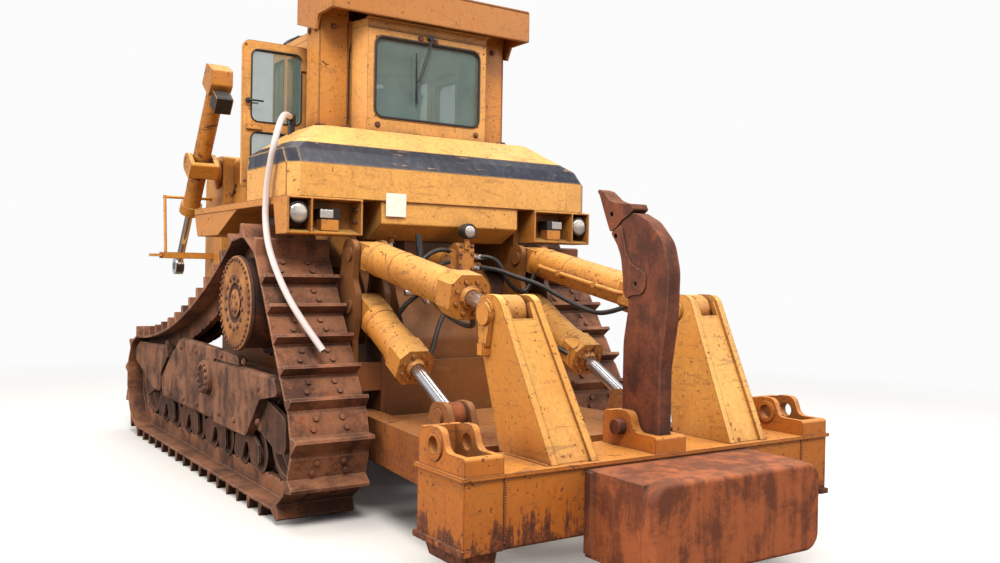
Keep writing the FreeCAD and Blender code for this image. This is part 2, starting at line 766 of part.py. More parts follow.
def make_roller_frames():
    idler_clear = idler_reach - rail_depth + 60.0
    main = [
        (idler_clear, frame_bottom), (wheelbase - idler_clear, frame_bottom),
        (wheelbase - idler_clear, frame_top - 90.0), (wheelbase - idler_clear - 300.0, frame_top),
        (idler_clear, frame_top),
    ]
    tube = section_body(main, frame_inner, frame_outer, frame_bottom, frame_top, frame_chamfer)
    boss = turned([
        (frame_outer - 40.0, 0.0), (frame_outer - 40.0, trunnion_radius + 40.0),
        (guard_outer + 6.0, trunnion_radius + 40.0), (guard_outer + 6.0, trunnion_radius),
        (trunnion_reach, trunnion_radius), (trunnion_reach, 0.0),
    ], 0.0, (trunnion_forward, trunnion_height))
    add_both("roller_frames", joined(tube, boss))
    rise = guard_top - guard_low
    rear_cover_top = guard_top - 120.0
    middle = [
        (trunnion_forward - 80.0, guard_low, 60), (wheelbase - 890.0, guard_low, 120),
        (wheelbase - 820.0, guard_low + rise * 0.29, 60), (wheelbase - 1140.0, guard_low + rise * 0.65, 80),
        (wheelbase - 1540.0, guard_top, 60), (sprocket_forward + 100.0, guard_low + rise * 0.94, 60),
        (sprocket_forward + 100.0, guard_low + rise * 0.83),
        (trunnion_forward - 120.0, guard_low + rise * 0.83),
        (trunnion_forward - 120.0, guard_low + rise * 0.11),
    ]
    low_side = frame_outer + snug
    hole = shaft(trunnion_radius + 40.0 + snug, (low_side - 1.0, guard_outer + 1.0),
                 (trunnion_forward, trunnion_height))
    cover = section_body(middle, low_side, guard_outer, guard_low, guard_top, guard_side / 2.0).cut(hole)
    rear = [
        (trunnion_forward - 135.0, guard_low - 30.0, 60), (rear_guard_front - 130.0, guard_low, 90),
        (rear_guard_front - 435.0, rear_cover_top - 210.0, 40), (-120.0, rear_cover_top - 140.0, 30),
        (-30.0, rear_cover_top - 15.0, 40), (rear_guard_front, rear_cover_top),
        (trunnion_forward - 135.0, rear_cover_top),
    ]
    front_rise = front_guard_top - front_guard_low
    front = [
        (wheelbase - 770.0, front_guard_low + front_rise * 0.06, 40),
        (wheelbase - 590.0, front_guard_low, 60),
        (wheelbase + 290.0, front_guard_low + front_rise * 0.51, 60),
        (wheelbase + 320.0, front_guard_low + front_rise * 0.72, 40),
        (wheelbase + 110.0, front_guard_low + front_rise * 0.92, 60),
        (wheelbase - 1010.0, front_guard_top, 40),
        (wheelbase - 1030.0, front_guard_low + front_rise * 0.78),
        (wheelbase - 770.0, front_guard_low + front_rise * 0.39, 40),
    ]
    rear_cover = section_body(rear, low_side, guard_outer, guard_low - 30.0, rear_cover_top, guard_side / 2.0)
    rear_cover = rear_cover.cut(hole)
    front_cover = section_body(front, low_side, guard_outer, front_guard_low, front_guard_top,
                               guard_side / 2.0)
    add_both("track_guards", cover, rear_cover, front_cover)
    make_idler_yokes()


def make_idler_yokes():
    """Forks that hold the idlers' axles, one behind and one before the roller frame."""
    arm = 40.0
    low_in = track_side - axle_reach - snug - arm
    low_out = track_side + axle_reach + snug
    clear = idler_reach - rail_depth + 60.0
    shapes = []
    for centre, way, foot in ((rear_idler, 1.0, clear), (front_idler, -1.0, clear)):
        base = centre[0] + way * (foot - snug)
        cheek = [
            (centre[0] - way * 110.0, idler_height - 110.0, 60),
            (centre[0] + way * 40.0, idler_height - 130.0),
            (base, frame_bottom + 20.0), (base, frame_top - 120.0),
            (centre[0] - way * 110.0, idler_height + 150.0, 60),
        ]
        for low in (low_in, low_out):
            shapes.append(prism("X", cheek, low, low + arm))
    add_both("idler_yokes", *shapes)


def make_case():
    profile = [
        (case_rear, case_bottom), (case_rear, case_top - 630.0, 120), (case_step, case_top - 260.0, 120),
        (case_step, case_top, 80), (case_front - 230.0, case_top, 120), (case_front, case_top - 460.0, 80),
        (case_front, case_bottom),
    ]
    body = prism("X", profile, -case_half, case_half)
    stub_end = case_half + axle_stub - snug
    tube = shaft(axle_tube_radius + 60.0, (-stub_end, stub_end), sprocket)
    pad_half, pad_rear, pad_front = tank_pad
    pad = block((-pad_half, pad_half), (pad_rear, pad_front), (case_top - 20.0, tank_lower_bottom - snug))
    cab_pads = []
    pad_in, pad_out, pad_rear, pad_front = cab_pad
    for side in (-1.0, 1.0):
        cab_pads.append(block((side * pad_in, side * pad_out), (pad_rear, pad_front),
                              (case_top - 100.0, cab_floor - snug)))
    add("main_case", joined(body, tube, pad, *cab_pads))
    rails = []
    for side in (-1.0, 1.0):
        rail = [
            (case_front + snug, side_rail_bottom), (side_rail_front, side_rail_bottom, 60),
            (side_rail_front, side_rail_top), (case_front + snug, side_rail_top),
        ]
        x_in = side * (rail_half - side_rail_width)
        rails.append(prism("X", rail, min(x_in, side * rail_half), max(x_in, side * rail_half)))
    inner = rail_half - side_rail_width
    cross = [block((-inner, inner), (case_front + snug, case_front + 160.0),
                   (side_rail_bottom, side_rail_top)),
             block((-inner, inner), (engine_front + 30.0, side_rail_front),
                   (side_rail_bottom, side_rail_top - 60.0)),
             block((-inner, inner), (case_front + 160.0, side_rail_front),
                   (side_rail_bottom, side_rail_bottom + belly_thickness))]
    posts = []
    for side in (-1.0, 1.0):
        posts.append(block((side * (rail_half - 110.0), side * (rail_half - 10.0)), cab_post,
                           (side_rail_top - 10.0, cab_floor - snug)))
    add("main_frame", joined(*(rails + cross + posts)))
    shafts = []
    for side in (-1.0, 1.0):
        ends = (side * (case_half + snug), side * (frame_inner - snug))
        shafts.append(shaft(pivot_shaft_radius, ends, (pivot_shaft_forward - 250.0, pivot_shaft_height)))
    add("pivot_shafts", group(*shafts))
    half = equalizer_width / 2.0
    saddle = side_rail_bottom - snug
    reach = frame_inner - snug
    bar_profile = [
        (-reach, equalizer_height - 60.0), (-reach, equalizer_height + 60.0),
        (-rail_half - 60.0, equalizer_height + 60.0),
        (-rail_half - 20.0, saddle), (rail_half + 20.0, saddle), (rail_half + 60.0, equalizer_height + 60.0),
        (reach, equalizer_height + 60.0), (reach, equalizer_height - 60.0),
        (rail_half, saddle - equalizer_depth),
        (-rail_half, saddle - equalizer_depth),
    ]
    add("equalizer_bar", prism("Y", bar_profile, equalizer_forward - half, equalizer_forward + half))


def make_engine():
    body = block((-engine_half, engine_half), (engine_rear, engine_front), (engine_bottom, engine_top))
    feet = []
    for y in (engine_rear + 120.0, engine_front - 120.0):
        feet.append(block((-rail_half + 10.0, rail_half - 10.0), (y - 60.0, y + 60.0),
                          (side_rail_top + snug, engine_bottom + 60.0)))
    add("engine_block", joined(body, *feet))
    outer = [
        (-hood_half, hood_bottom), (-hood_half, hood_top_rear, hood_edge),
        (hood_half, hood_top_rear, hood_edge),
        (hood_half, hood_bottom),
    ]
    inner_half = hood_half - hood_sheet
    inner = [
        (-inner_half, hood_bottom - 1.0), (-inner_half, hood_top_rear - hood_sheet, hood_edge - hood_sheet),
        (inner_half, hood_top_rear - hood_sheet, hood_edge - hood_sheet), (inner_half, hood_bottom - 1.0),
    ]
    hood = prism("Y", outer, hood_rear, guard_rear - snug).cut(prism("Y", inner, hood_rear - 1.0,
                                                                     guard_rear + 1.0))
    add("hood", hood)
    guard = prism("X", [
        (guard_rear, radiator_bottom + 130.0), (guard_rear, radiator_top, 30),
        (guard_front - 60.0, radiator_top, 60),
        (guard_front, radiator_top - 300.0), (guard_front, radiator_bottom + 60.0, 40),
        (guard_front - 120.0, radiator_bottom + 130.0),
    ], -radiator_half, radiator_half)
    opening_half = radiator_half - grille_border
    opening = block((-opening_half, opening_half), (guard_front - 160.0, guard_front + 10.0),
                    (radiator_bottom + 330.0, radiator_top - 340.0))
    legs = []
    for side in (-1.0, 1.0):
        x_in = side * (rail_half - side_rail_width + 10.0)
        legs.append(block((x_in, side * (rail_half - 10.0)), (guard_rear + 60.0, side_rail_front - 40.0),
                          (side_rail_top + snug, radiator_bottom + 200.0)))
    add("radiator_guard", joined(guard.cut(opening), *legs))
    bars = []
    grille_low = radiator_bottom + 330.0 + snug
    grille_high = radiator_top - 340.0 - snug
    width = 2.0 * (opening_half - snug)
    step = (width - grille_bar) / (grille_bars - 1)
    for index in range(grille_bars):
        x = -opening_half + snug + index * step
        bars.append(block((x, x + grille_bar), (guard_front - 60.0, guard_front - 60.0 + grille_depth),
                          (grille_low, grille_high)))
    for z in (grille_low, (grille_low + grille_high) / 2.0 - 15.0, grille_high - 30.0):
        bars.append(block((-opening_half + snug, opening_half - snug),
                          (guard_front - 60.0, guard_front - 40.0),
                          (z, z + 30.0)))
    add("grille", joined(*bars))


def tank_section(z, half, rear, front, bevel):
    """Plan of the tank at one height, with its rear corners bevelled."""
    corners = [(-half, front), (-half, rear + bevel), (-half + bevel, rear), (half - bevel, rear),
               (half, rear + bevel), (half, front)]
    points = [Vector(x, y, z) for x, y in corners]
    return Part.makePolygon(points + points[:1])


def make_tank():
    # height, half width, rear, bevel
    levels = [
        (tank_skirt_bottom, tank_half, tank_rear, tank_bevel),
        (tank_crease, tank_half, tank_rear, tank_bevel),
        (tank_shoulder, tank_half - 8.0, tank_rear + tank_shoulder_inset, tank_bevel),
        (tank_top, tank_top_half, tank_top_rear, tank_bevel),
    ]
    wires = [tank_section(z, half, rear, tank_front, bevel) for z, half, rear, bevel in levels]
    body = Part.makeLoft(wires, True, True)
    lower = prism("X", [
        (tank_rear + 20.0, tank_skirt_bottom + 40.0), (tank_rear + 20.0, tank_lower_bottom + 120.0, 20),
        (tank_rear + tank_lower_slant, tank_lower_bottom, 30), (tank_front, tank_lower_bottom),
        (tank_front, tank_skirt_bottom + 40.0),
    ], -tank_lower_half, tank_lower_half)
    add("fuel_tank", joined(body, lower))


def make_fenders():
    top_plate = prism("Z", [
        (fender_inner, lamp_box_front), (fender_outer, lamp_box_front), (fender_outer, fender_front, 60),
        (fender_inner, fender_front),
    ], fender_top - fender_edge, fender_top)
    side_box = prism("X", [
        (fender_front - 130.0, fender_box_bottom), (fender_front - 10.0, fender_top - 20.0),
        (fender_box_rear - fender_box_rise + 50.0, fender_top - 20.0),
        (fender_box_rear + 160.0, fender_box_bottom),
    ], fender_outer - 330.0, fender_outer - 6.0)
    inner_wall = block((fender_inner - 60.0, fender_inner), (lamp_box_front, tank_front + 200.0),
                       (sprocket_height + axle_tube_radius + snug, fender_top))
    outer = prism("X", [
        (lamp_box_rear, lamp_box_bottom, 12), (lamp_box_rear, fender_top, 12),
        (lamp_box_front + 60.0, fender_top),
        (lamp_box_front + 60.0, fender_top - fender_edge), (lamp_box_front, lamp_box_bottom),
    ], fender_inner, fender_outer)
    cavities = []
    for low, high in ((fender_inner + 18.0, lamp_box_divider - 8.0),
                      (lamp_box_divider + 8.0, fender_outer - 14.0)):
        cavities.append(prism("X", [
            (lamp_box_rear - 1.0, lamp_box_bottom + 16.0), (lamp_box_rear - 1.0, fender_top - 16.0),
            (lamp_box_front - lamp_box_wall, fender_top - 26.0),
            (lamp_box_front - lamp_box_wall, lamp_box_bottom + 60.0),
        ], low, high))
    add_both("fenders", joined(top_plate, side_box, inner_wall, outer).cut(cavities))
    lamp_x = (lamp_box_divider + fender_outer) / 2.0
    lamps = []
    for side in (-1.0, 1.0):
        centre = Vector(side * lamp_x, lamp_box_rear + lamp_recess, fender_top - lamp_drop)
        neck_length = lamp_box_front - lamp_box_wall - snug - centre.y
        head = Part.makeCylinder(lamp_radius, lamp_depth, centre, Vector(0, 1, 0))
        neck = Part.makeCylinder(30.0, neck_length, centre, Vector(0, 1, 0))
        lamps.append(joined(head, neck))
        low, high = sorted((side * work_lamp_x - work_lamp_width / 2.0,
                            side * work_lamp_x + work_lamp_width / 2.0))
        case_z = fender_top - lamp_drop
        lamps.append(block((low, high), (centre.y + 25.0, lamp_box_front - lamp_box_wall - snug),
                           (case_z - work_lamp_height / 2.0, case_z + work_lamp_height / 2.0)))
    add("rear_lamps", group(*lamps))


def cab_plan(inset):
    """Right half of the cab's plan, corners (x, y), moved inwards by an inset."""
    slope = inset * 0.42
    return [
        (0.0, cab_rear + inset), (cab_rear_half - slope - inset * 0.4, cab_rear + inset),
        (cab_waist_half - inset, cab_waist_rear + slope * 0.4),
        (cab_waist_half - inset, cab_waist_front + inset * 0.35),
        (cab_side_half - inset, cab_side_rear + inset * 0.35),
        (cab_side_half - inset, cab_side_front - slope),
        (cab_front_half - slope, cab_front - inset), (0.0, cab_front - inset),
    ]


def make_cab():
    wall_low = tank_top + cab_deck_gap
    outer = prism("Z", cab_plan(0.0), cab_floor, cab_top - cab_roof_thickness)
    inner = prism("Z", cab_plan(cab_wall), cab_floor - 1.0, cab_top)
    shell = outer.cut(inner)
    shell = shell.cut(block((-10.0, 900.0), (cab_rear - 10.0, tank_front + 20.0),
                            (cab_floor - 10.0, wall_low)))
    rear = block((-1.0, rear_window_half), (cab_rear - 20.0, cab_rear + cab_wall + 10.0),
                 (window_bottom, window_top))
    waist = block((cab_waist_half - cab_wall - 10.0, cab_waist_half + 10.0),
                  (cab_waist_rear + 70.0, cab_waist_front - 40.0),
                  (window_bottom, window_top))
    door = block((cab_side_half - cab_wall - 20.0, cab_side_half + 20.0), (door_rear, door_front),
                 (door_bottom, door_top))
    quarter = block((cab_side_half - cab_wall - 20.0, cab_side_half + 20.0),
                    (door_front + 90.0, cab_side_front - 50.0),
                    (window_bottom - 300.0, window_top))
    front = block((-1.0, cab_front_half - 60.0), (cab_front - cab_wall - 10.0, cab_front + 10.0),
                  (window_bottom, window_top))
    shell = shell.cut([rear, waist, door, quarter, front])
    split_rear = cab_waist_rear + 20.0
    split_front = cab_side_front - 20.0
    far = 1200.0
    rear_zone = block((-far, far), (cab_rear - 50.0, split_rear), (cab_floor - 10.0, cab_top + 10.0))
    side_zone = block((0.0, far), (split_rear + snug, split_front), (cab_floor - 10.0, cab_top + 10.0))
    front_zone = block((-far, far), (split_front + snug, cab_front + 50.0),
                       (cab_floor - 10.0, cab_top + 10.0))
    rear_half = shell.common(rear_zone)
    front_half = shell.common(front_zone)
    add("cab_rear_wall", joined(rear_half, mirrored(rear_half)))
    add("cab_front_wall", joined(front_half, mirrored(front_half)))
    add_both("cab_sides", shell.common(side_zone))
    half_plan = cab_plan(0.0)
    plan = half_plan + [(-x, y) for x, y in reversed(half_plan[1:-1])]
    add("cab_roof", prism("Z", plan, cab_top - cab_roof_thickness + snug, cab_top))
    floor_half = cab_plan(cab_wall + snug)
    floor_front = [(x, max(y, tank_front + 30.0)) for x, y in floor_half]
    floor_corners = [(0.0, tank_front + 30.0), (cab_waist_half - cab_wall,
                                                tank_front + 30.0)] + floor_half[4:]
    floor_plan = floor_corners + [(-x, y) for x, y in reversed(floor_corners[1:-1])]
    add("cab_floor", prism("Z", floor_plan, cab_floor, cab_floor + 50.0))
    make_glass()
    make_doors()


def make_glass():
    middle_rear = cab_rear + cab_wall / 2.0
    middle_side = cab_side_half - cab_wall / 2.0
    middle_waist = cab_waist_half - cab_wall / 2.0
    middle_front = cab_front - cab_wall / 2.0
    half = glass / 2.0
    low = window_bottom + snug
    high = window_top - snug
    panes = [
        block((snug - rear_window_half, rear_window_half - snug), (middle_rear - half, middle_rear + half),
              (low, high)),
        block((60.0 + snug - cab_front_half, cab_front_half - 60.0 - snug),
              (middle_front - half, middle_front + half),
              (low, high)),
    ]
    for side in (-1.0, 1.0):
        panes.append(block((side * (middle_waist - half), side * (middle_waist + half)),
                           (cab_waist_rear + 70.0 + snug, cab_waist_front - 40.0 - snug), (low, high)))
        panes.append(block((side * (middle_side - half), side * (middle_side + half)),
                           (door_front + 90.0 + snug, cab_side_front - 50.0 - snug), (low - 300.0, high)))
    add("cab_glass", group(*panes))


def make_doors():
    gap = running + 2.0
    x_low = cab_side_half - door_thickness
    leaf = prism("X", [
        (door_rear + gap, door_bottom + gap, 30), (door_front - gap, door_bottom + gap, 30),
        (door_front - gap, door_top - gap, 60), (door_rear + gap, door_top - gap, 60),
    ], x_low, cab_side_half)
    upper = prism("X", [
        (door_rear + gap + door_frame, door_pane_low, window_corner),
        (door_front - gap - door_frame, door_pane_low, window_corner),
        (door_front - gap - door_frame, door_top - gap - door_frame, window_corner),
        (door_rear + gap + door_frame, door_top - gap - door_frame, window_corner),
    ], x_low - 1.0, cab_side_half + 1.0)
    lower = prism("X", [
        (door_rear + gap + door_frame + 40.0, door_kick_low, 60),
        (door_front - gap - door_frame, door_kick_low, 60),
        (door_front - gap - door_frame, door_kick_high, 60),
        (door_rear + gap + door_frame + 40.0, door_kick_high, 60),
    ], x_low - 1.0, cab_side_half + 1.0)
    handle = block((cab_side_half, cab_side_half + 26.0), (door_front - 170.0, door_front - 40.0),
                   (door_handle_height - 20.0, door_handle_height + 20.0))
    barrels = []
    hinge = (cab_side_half + hinge_radius + snug, door_rear)
    door = joined(leaf.cut([upper, lower]), handle)
    for z in (door_bottom + 120.0, door_top - 220.0):
        knuckle = Part.makeCylinder(hinge_radius, 90.0, Vector(hinge[0], hinge[1], z), Vector(0, 0, 1))
        strap = block((cab_side_half, hinge[0]), (hinge[1] + running, hinge[1] + 90.0), (z, z + 90.0))
        barrels.append(joined(knuckle, strap))
    door = joined(door, *barrels)
    panes = group(
        prism("X", [
            (door_rear + gap + door_frame + snug, door_pane_low + snug, window_corner),
            (door_front - gap - door_frame - snug, door_pane_low + snug, window_corner),
            (door_front - gap - door_frame - snug, door_top - gap - door_frame - snug, window_corner),
            (door_rear + gap + door_frame + snug, door_top - gap - door_frame - snug, window_corner),
        ], x_low + 18.0, x_low + 18.0 + glass),
        prism("X", [
            (door_rear + gap + door_frame + 40.0 + snug, door_kick_low + snug, 60),
            (door_front - gap - door_frame - snug, door_kick_low + snug, 60),
            (door_front - gap - door_frame - snug, door_kick_high - snug, 60),
            (door_rear + gap + door_frame + 40.0 + snug, door_kick_high - snug, 60),
        ], x_low + 18.0, x_low + 18.0 + glass))
    add("door_right", door)
    add("door_glass_right", panes)
    for name, shape in (("door_left", mirrored(door)), ("door_glass_left", mirrored(panes))):
        opened = shape.copy()
        opened.rotate(Vector(-hinge[0], hinge[1], 0), Vector(0, 0, 1), 90)
        add(name, opened)


def make_canopy():
    side = [
        (canopy_rear, canopy_bottom), (canopy_rear, canopy_top, 40), (canopy_front - 60.0, canopy_top, 40),
        (canopy_front, canopy_bottom + 60.0), (canopy_front, canopy_bottom),
    ]
    outer = prism("X", side, -canopy_half, canopy_half)
    inner = [
        (canopy_rear + canopy_wall, canopy_bottom - 1.0),
        (canopy_rear + canopy_wall, canopy_top - canopy_wall),
        (canopy_front - 90.0, canopy_top - canopy_wall), (canopy_front - canopy_wall, canopy_bottom + 60.0),
        (canopy_front - canopy_wall, canopy_bottom - 1.0),
    ]
    cavity = prism("X", inner, canopy_wall - canopy_half, canopy_half - canopy_wall)
    drops = []
    for sign in (-1.0, 1.0):
        ends = (sign * (canopy_half - canopy_wall), sign * canopy_half)
        drops.append(prism("X", [
            (canopy_apron_rear, canopy_bottom + canopy_wall), (canopy_apron_rear, canopy_bottom),
            (canopy_apron_rear + canopy_apron_slant, canopy_bottom - canopy_apron, 30),
            (canopy_apron_front - canopy_apron_slant, canopy_bottom - canopy_apron, 30),
            (canopy_apron_front, canopy_bottom + canopy_wall),
        ], min(ends), max(ends)))
    add("canopy", joined(outer.cut(cavity), *drops))
    posts = []
    post = block((post_inner, post_outer), (post_rear, post_front),
                 (tank_top + snug + 40.0, canopy_top - canopy_wall - snug))
    foot = block((post_inner - 12.0, post_outer + 20.0), (post_rear - 30.0, post_front + 20.0),
                 (tank_top + snug, tank_top + 40.0 + snug))
    gusset = prism("Y", [
        (post_inner, canopy_bottom - 20.0), (post_inner - 10.0, canopy_bottom - 160.0),
        (post_inner, canopy_bottom - 420.0),
        (post_inner + 30.0, canopy_bottom - 420.0), (post_inner + 30.0, canopy_bottom - 20.0),
    ], post_rear, post_rear + 30.0)
    add_both("roof_posts", joined(post, foot, gusset))


def make_inside():
    half = seat_width / 2.0
    floor = cab_floor + 50.0 + snug
    base = block((-half + 60.0, half - 60.0), (seat_rear + 120.0, seat_rear + 560.0),
                 (floor, seat_top - 170.0))
    cushion = prism("X", [
        (seat_rear + 90.0, seat_top - 170.0 + snug, 20), (seat_rear + 620.0, seat_top - 170.0 + snug, 40),
        (seat_rear + 620.0, seat_top - 40.0, 50), (seat_rear + 230.0, seat_top - 60.0),
        (seat_rear + 90.0, seat_top + 560.0, 60), (seat_rear - 20.0, seat_top + 560.0, 40),
    ], -half, half)
    add("driver_seat", cushion)
    dash = prism("X", [
        (dash_rear, floor), (dash_rear, cab_floor + dash_rise - 140.0, 40),
        (dash_rear + 60.0, cab_floor + dash_rise, 30), (dash_front, cab_floor + dash_rise),
        (dash_front, floor),
    ], -dash_half, dash_half)
    arms = []
    for side in (-1.0, 1.0):
        arms.append(block((side * (half + 20.0), side * (half + 190.0)),
                          (seat_rear + 150.0, seat_rear + 700.0),
                          (floor, seat_top + 60.0)))
    add("cab_controls", group(base, dash, *arms))


def make_stacks():
    hood_face = hood_top_rear + snug
    muffler = bar(stack_radius, (-stack_side, stack_forward, hood_face),
                  (-stack_side, stack_forward, stack_top))
    pipe = bar(stack_pipe_radius, (-stack_side, stack_forward, stack_top - 5.0),
               (-stack_side, stack_forward, stack_pipe_top))
    cap = bar(stack_pipe_radius + 8.0, (-stack_side, stack_forward, stack_pipe_top),
              (-stack_side, stack_forward, stack_pipe_top + 14.0))
    add("exhaust_stack", joined(muffler, pipe, cap))
    neck = bar(cleaner_radius * 0.5, (stack_side, stack_forward, hood_face),
               (stack_side, stack_forward, cleaner_top - 240.0))
    bowl = bar(cleaner_radius, (stack_side, stack_forward, cleaner_top - 250.0),
               (stack_side, stack_forward, cleaner_top))
    add("air_cleaner", joined(neck, bowl))


def rotated_frame(origin, target):
    """Unit vectors along a cylinder and square to it, both as (y, z)."""
    length = math.dist(origin, target)
    ahead = ((target[0] - origin[0]) / length, (target[1] - origin[1]) / length)
    return ahead, (ahead[1], -ahead[0])


def local_corners(origin, target, corners):
    """Corners given along and square to a cylinder, as (y, z, radius) corners."""
    ahead, square = rotated_frame(origin, target)
    placed = []
    for corner in corners:
        y = origin[0] + ahead[0] * corner[0] + square[0] * corner[1]
        z = origin[1] + ahead[1] * corner[0] + square[1] * corner[1]
        placed.append((y, z) + tuple(corner[2:]))
    return placed


def cylinder_tube(side, origin, target, low, high, radius):
    """Round solid on the line from origin to target, between two distances."""
    return bar(radius, (side, *along(origin, target, low)), (side, *along(origin, target, high)))


def make_blade_cylinders():
    """Lift cylinders of the absent blade, hung in yokes on the radiator guard."""
    side = blade_cyl_side
    head = blade_cyl_head
    eye_end = blade_cyl_eye
    reach = math.dist(head, eye_end)
    barrel_end = blade_pivot_distance + blade_barrel_below
    pivot = along(head, eye_end, blade_pivot_distance)
    tube = cylinder_tube(side, head, eye_end, 0.0, barrel_end, blade_barrel_radius)
    gland = cylinder_tube(side, head, eye_end, barrel_end - blade_gland_length, barrel_end,
                          blade_gland_radius)
    stub_reach = blade_barrel_radius + running + blade_yoke_ear
    stubs = shaft(blade_trunnion_radius, (side - stub_reach, side + stub_reach), pivot)
    collar = cylinder_tube(side, head, eye_end, blade_pivot_distance - 85.0, blade_pivot_distance + 85.0,
                           blade_barrel_radius + 5.0)
    half = blade_head_width / 2.0
    cap = prism("X", local_corners(head, eye_end, [
        (-90.0, -150.0, 20), (150.0, -150.0, 20), (150.0, 120.0, 20), (0.0, 150.0, 30), (-130.0, 60.0, 30),
    ]), side - half, side + half)
    lamp = prism("X", local_corners(head, eye_end, [
        (60.0, 155.0, 10), (60.0 + lamp_cube, 155.0, 10), (60.0 + lamp_cube, 155.0 + lamp_cube, 10),
        (60.0, 155.0 + lamp_cube, 10),
    ]), side - lamp_cube / 2.0, side + lamp_cube / 2.0)
    arm = prism("X", local_corners(head, eye_end,
                                   [(90.0, 100.0), (130.0, 100.0), (130.0, 170.0), (90.0, 170.0)]),
                side - 20.0, side + 20.0)
    bore = cylinder_tube(side, head, eye_end, 70.0, barrel_end + 10.0, blade_rod_radius + snug)
    add_pair("blade_barrel", joined(tube, gland, stubs, collar, cap, lamp, arm).cut(bore))
    rod = cylinder_tube(side, head, eye_end, barrel_end - blade_gland_length - 600.0, reach, blade_rod_radius)
    eye = shaft(blade_eye_radius, (side - blade_eye_width / 2.0, side + blade_eye_width / 2.0), eye_end)
    hole = shaft(blade_eye_bore, (side - blade_eye_width, side + blade_eye_width), eye_end)
    add_pair("blade_rod", joined(rod, eye).cut(hole))
    make_blade_yokes(head, eye_end, pivot)


def make_blade_yokes(head, eye_end, pivot):
    """U-shaped yoke round each barrel, on a conical bracket from the radiator guard."""
    side = blade_cyl_side
    inner = blade_barrel_radius + 5.0 + running
    outer = inner + blade_yoke_ear
    back = blade_barrel_radius + 36.0
    cheek = local_corners(pivot, eye_end, [
        (-110.0, -110.0, 100), (110.0, -110.0, 100), (90.0, back + 60.0, 20), (-90.0, back + 60.0, 20),
    ])
    bridge = local_corners(pivot, eye_end, [
        (-90.0, back), (90.0, back), (90.0, back + 60.0, 20), (-90.0, back + 60.0, 20),
    ])
    hole = shaft(blade_trunnion_radius + pin_clearance, (side - outer - 10.0, side + outer + 10.0), pivot)
    yoke = joined(prism("X", cheek, side - outer, side - inner),
                  prism("X", bridge, side - outer, side + outer),
                  prism("X", cheek, side + inner, side + outer)).cut(hole)
    root = radiator_half + snug
    foot = Part.Wire(Part.makeCircle(170.0, Vector(root, guard_rear + 200.0, pivot[1] - 70.0),
                                     Vector(1, 0, 0)))
    neck_y, neck_z = local_corners(pivot, eye_end, [(0.0, back - 40.0)])[0]
    neck = Part.Wire(Part.makeCircle(82.0, Vector(side - outer + 1.0, neck_y, neck_z), Vector(1, 0, 0)))
    cone = Part.makeLoft([foot, neck], True, True)
    add_both("blade_yokes", joined(yoke, cone))
    root_x = radiator_half + snug
    plate_arm = block((root_x, bracket_reach), (bracket_forward - bracket_depth, bracket_forward),
                      (bracket_height - bracket_depth / 2.0, bracket_height + bracket_depth / 2.0))
    loop = prism("Z", [
        (bracket_reach - 20.0, bracket_forward - bracket_depth - 30.0, 20),
        (bracket_reach - 20.0, bracket_forward + 30.0, 20),
        (bracket_reach + 190.0, bracket_forward - 35.0, 30),
    ], bracket_height - 15.0, bracket_height + 15.0)
    window = prism("Z", [
        (bracket_reach + 12.0, bracket_forward - bracket_depth), (bracket_reach + 12.0, bracket_forward),
        (bracket_reach + 130.0, bracket_forward - 35.0),
    ], bracket_height - 20.0, bracket_height + 20.0)
    middle = bracket_forward - bracket_depth / 2.0
    post_x = bracket_reach - 60.0
    rail = joined(
        bar(handrail_radius, (post_x, middle, bracket_height), (post_x, handrail_forward, handrail_height)),
        bar(handrail_radius, (root_x, handrail_forward, handrail_height - handrail_radius),
            (post_x + handrail_radius, handrail_forward, handrail_height - handrail_radius)))
    add_both("front_brackets", joined(plate_arm, loop, rail).cut(window))


def ear_pair(side, width, thickness, corners):
    """Two ear plates beside a piece of the given width that turns between them."""
    gap = width / 2.0 + running
    return [prism("X", corners, side - gap - thickness, side - gap),
            prism("X", corners, side + gap, side + gap + thickness)]


def pin_caps(side, width, thickness, centre, radius):
    """Round caps on the outer faces of two ears, seen in place of the pin through them."""
    gap = width / 2.0 + running + thickness
    return [shaft(radius, (side - gap - 22.0, side - gap + 1.0), centre),
            shaft(radius, (side + gap - 1.0, side + gap + 22.0), centre)]


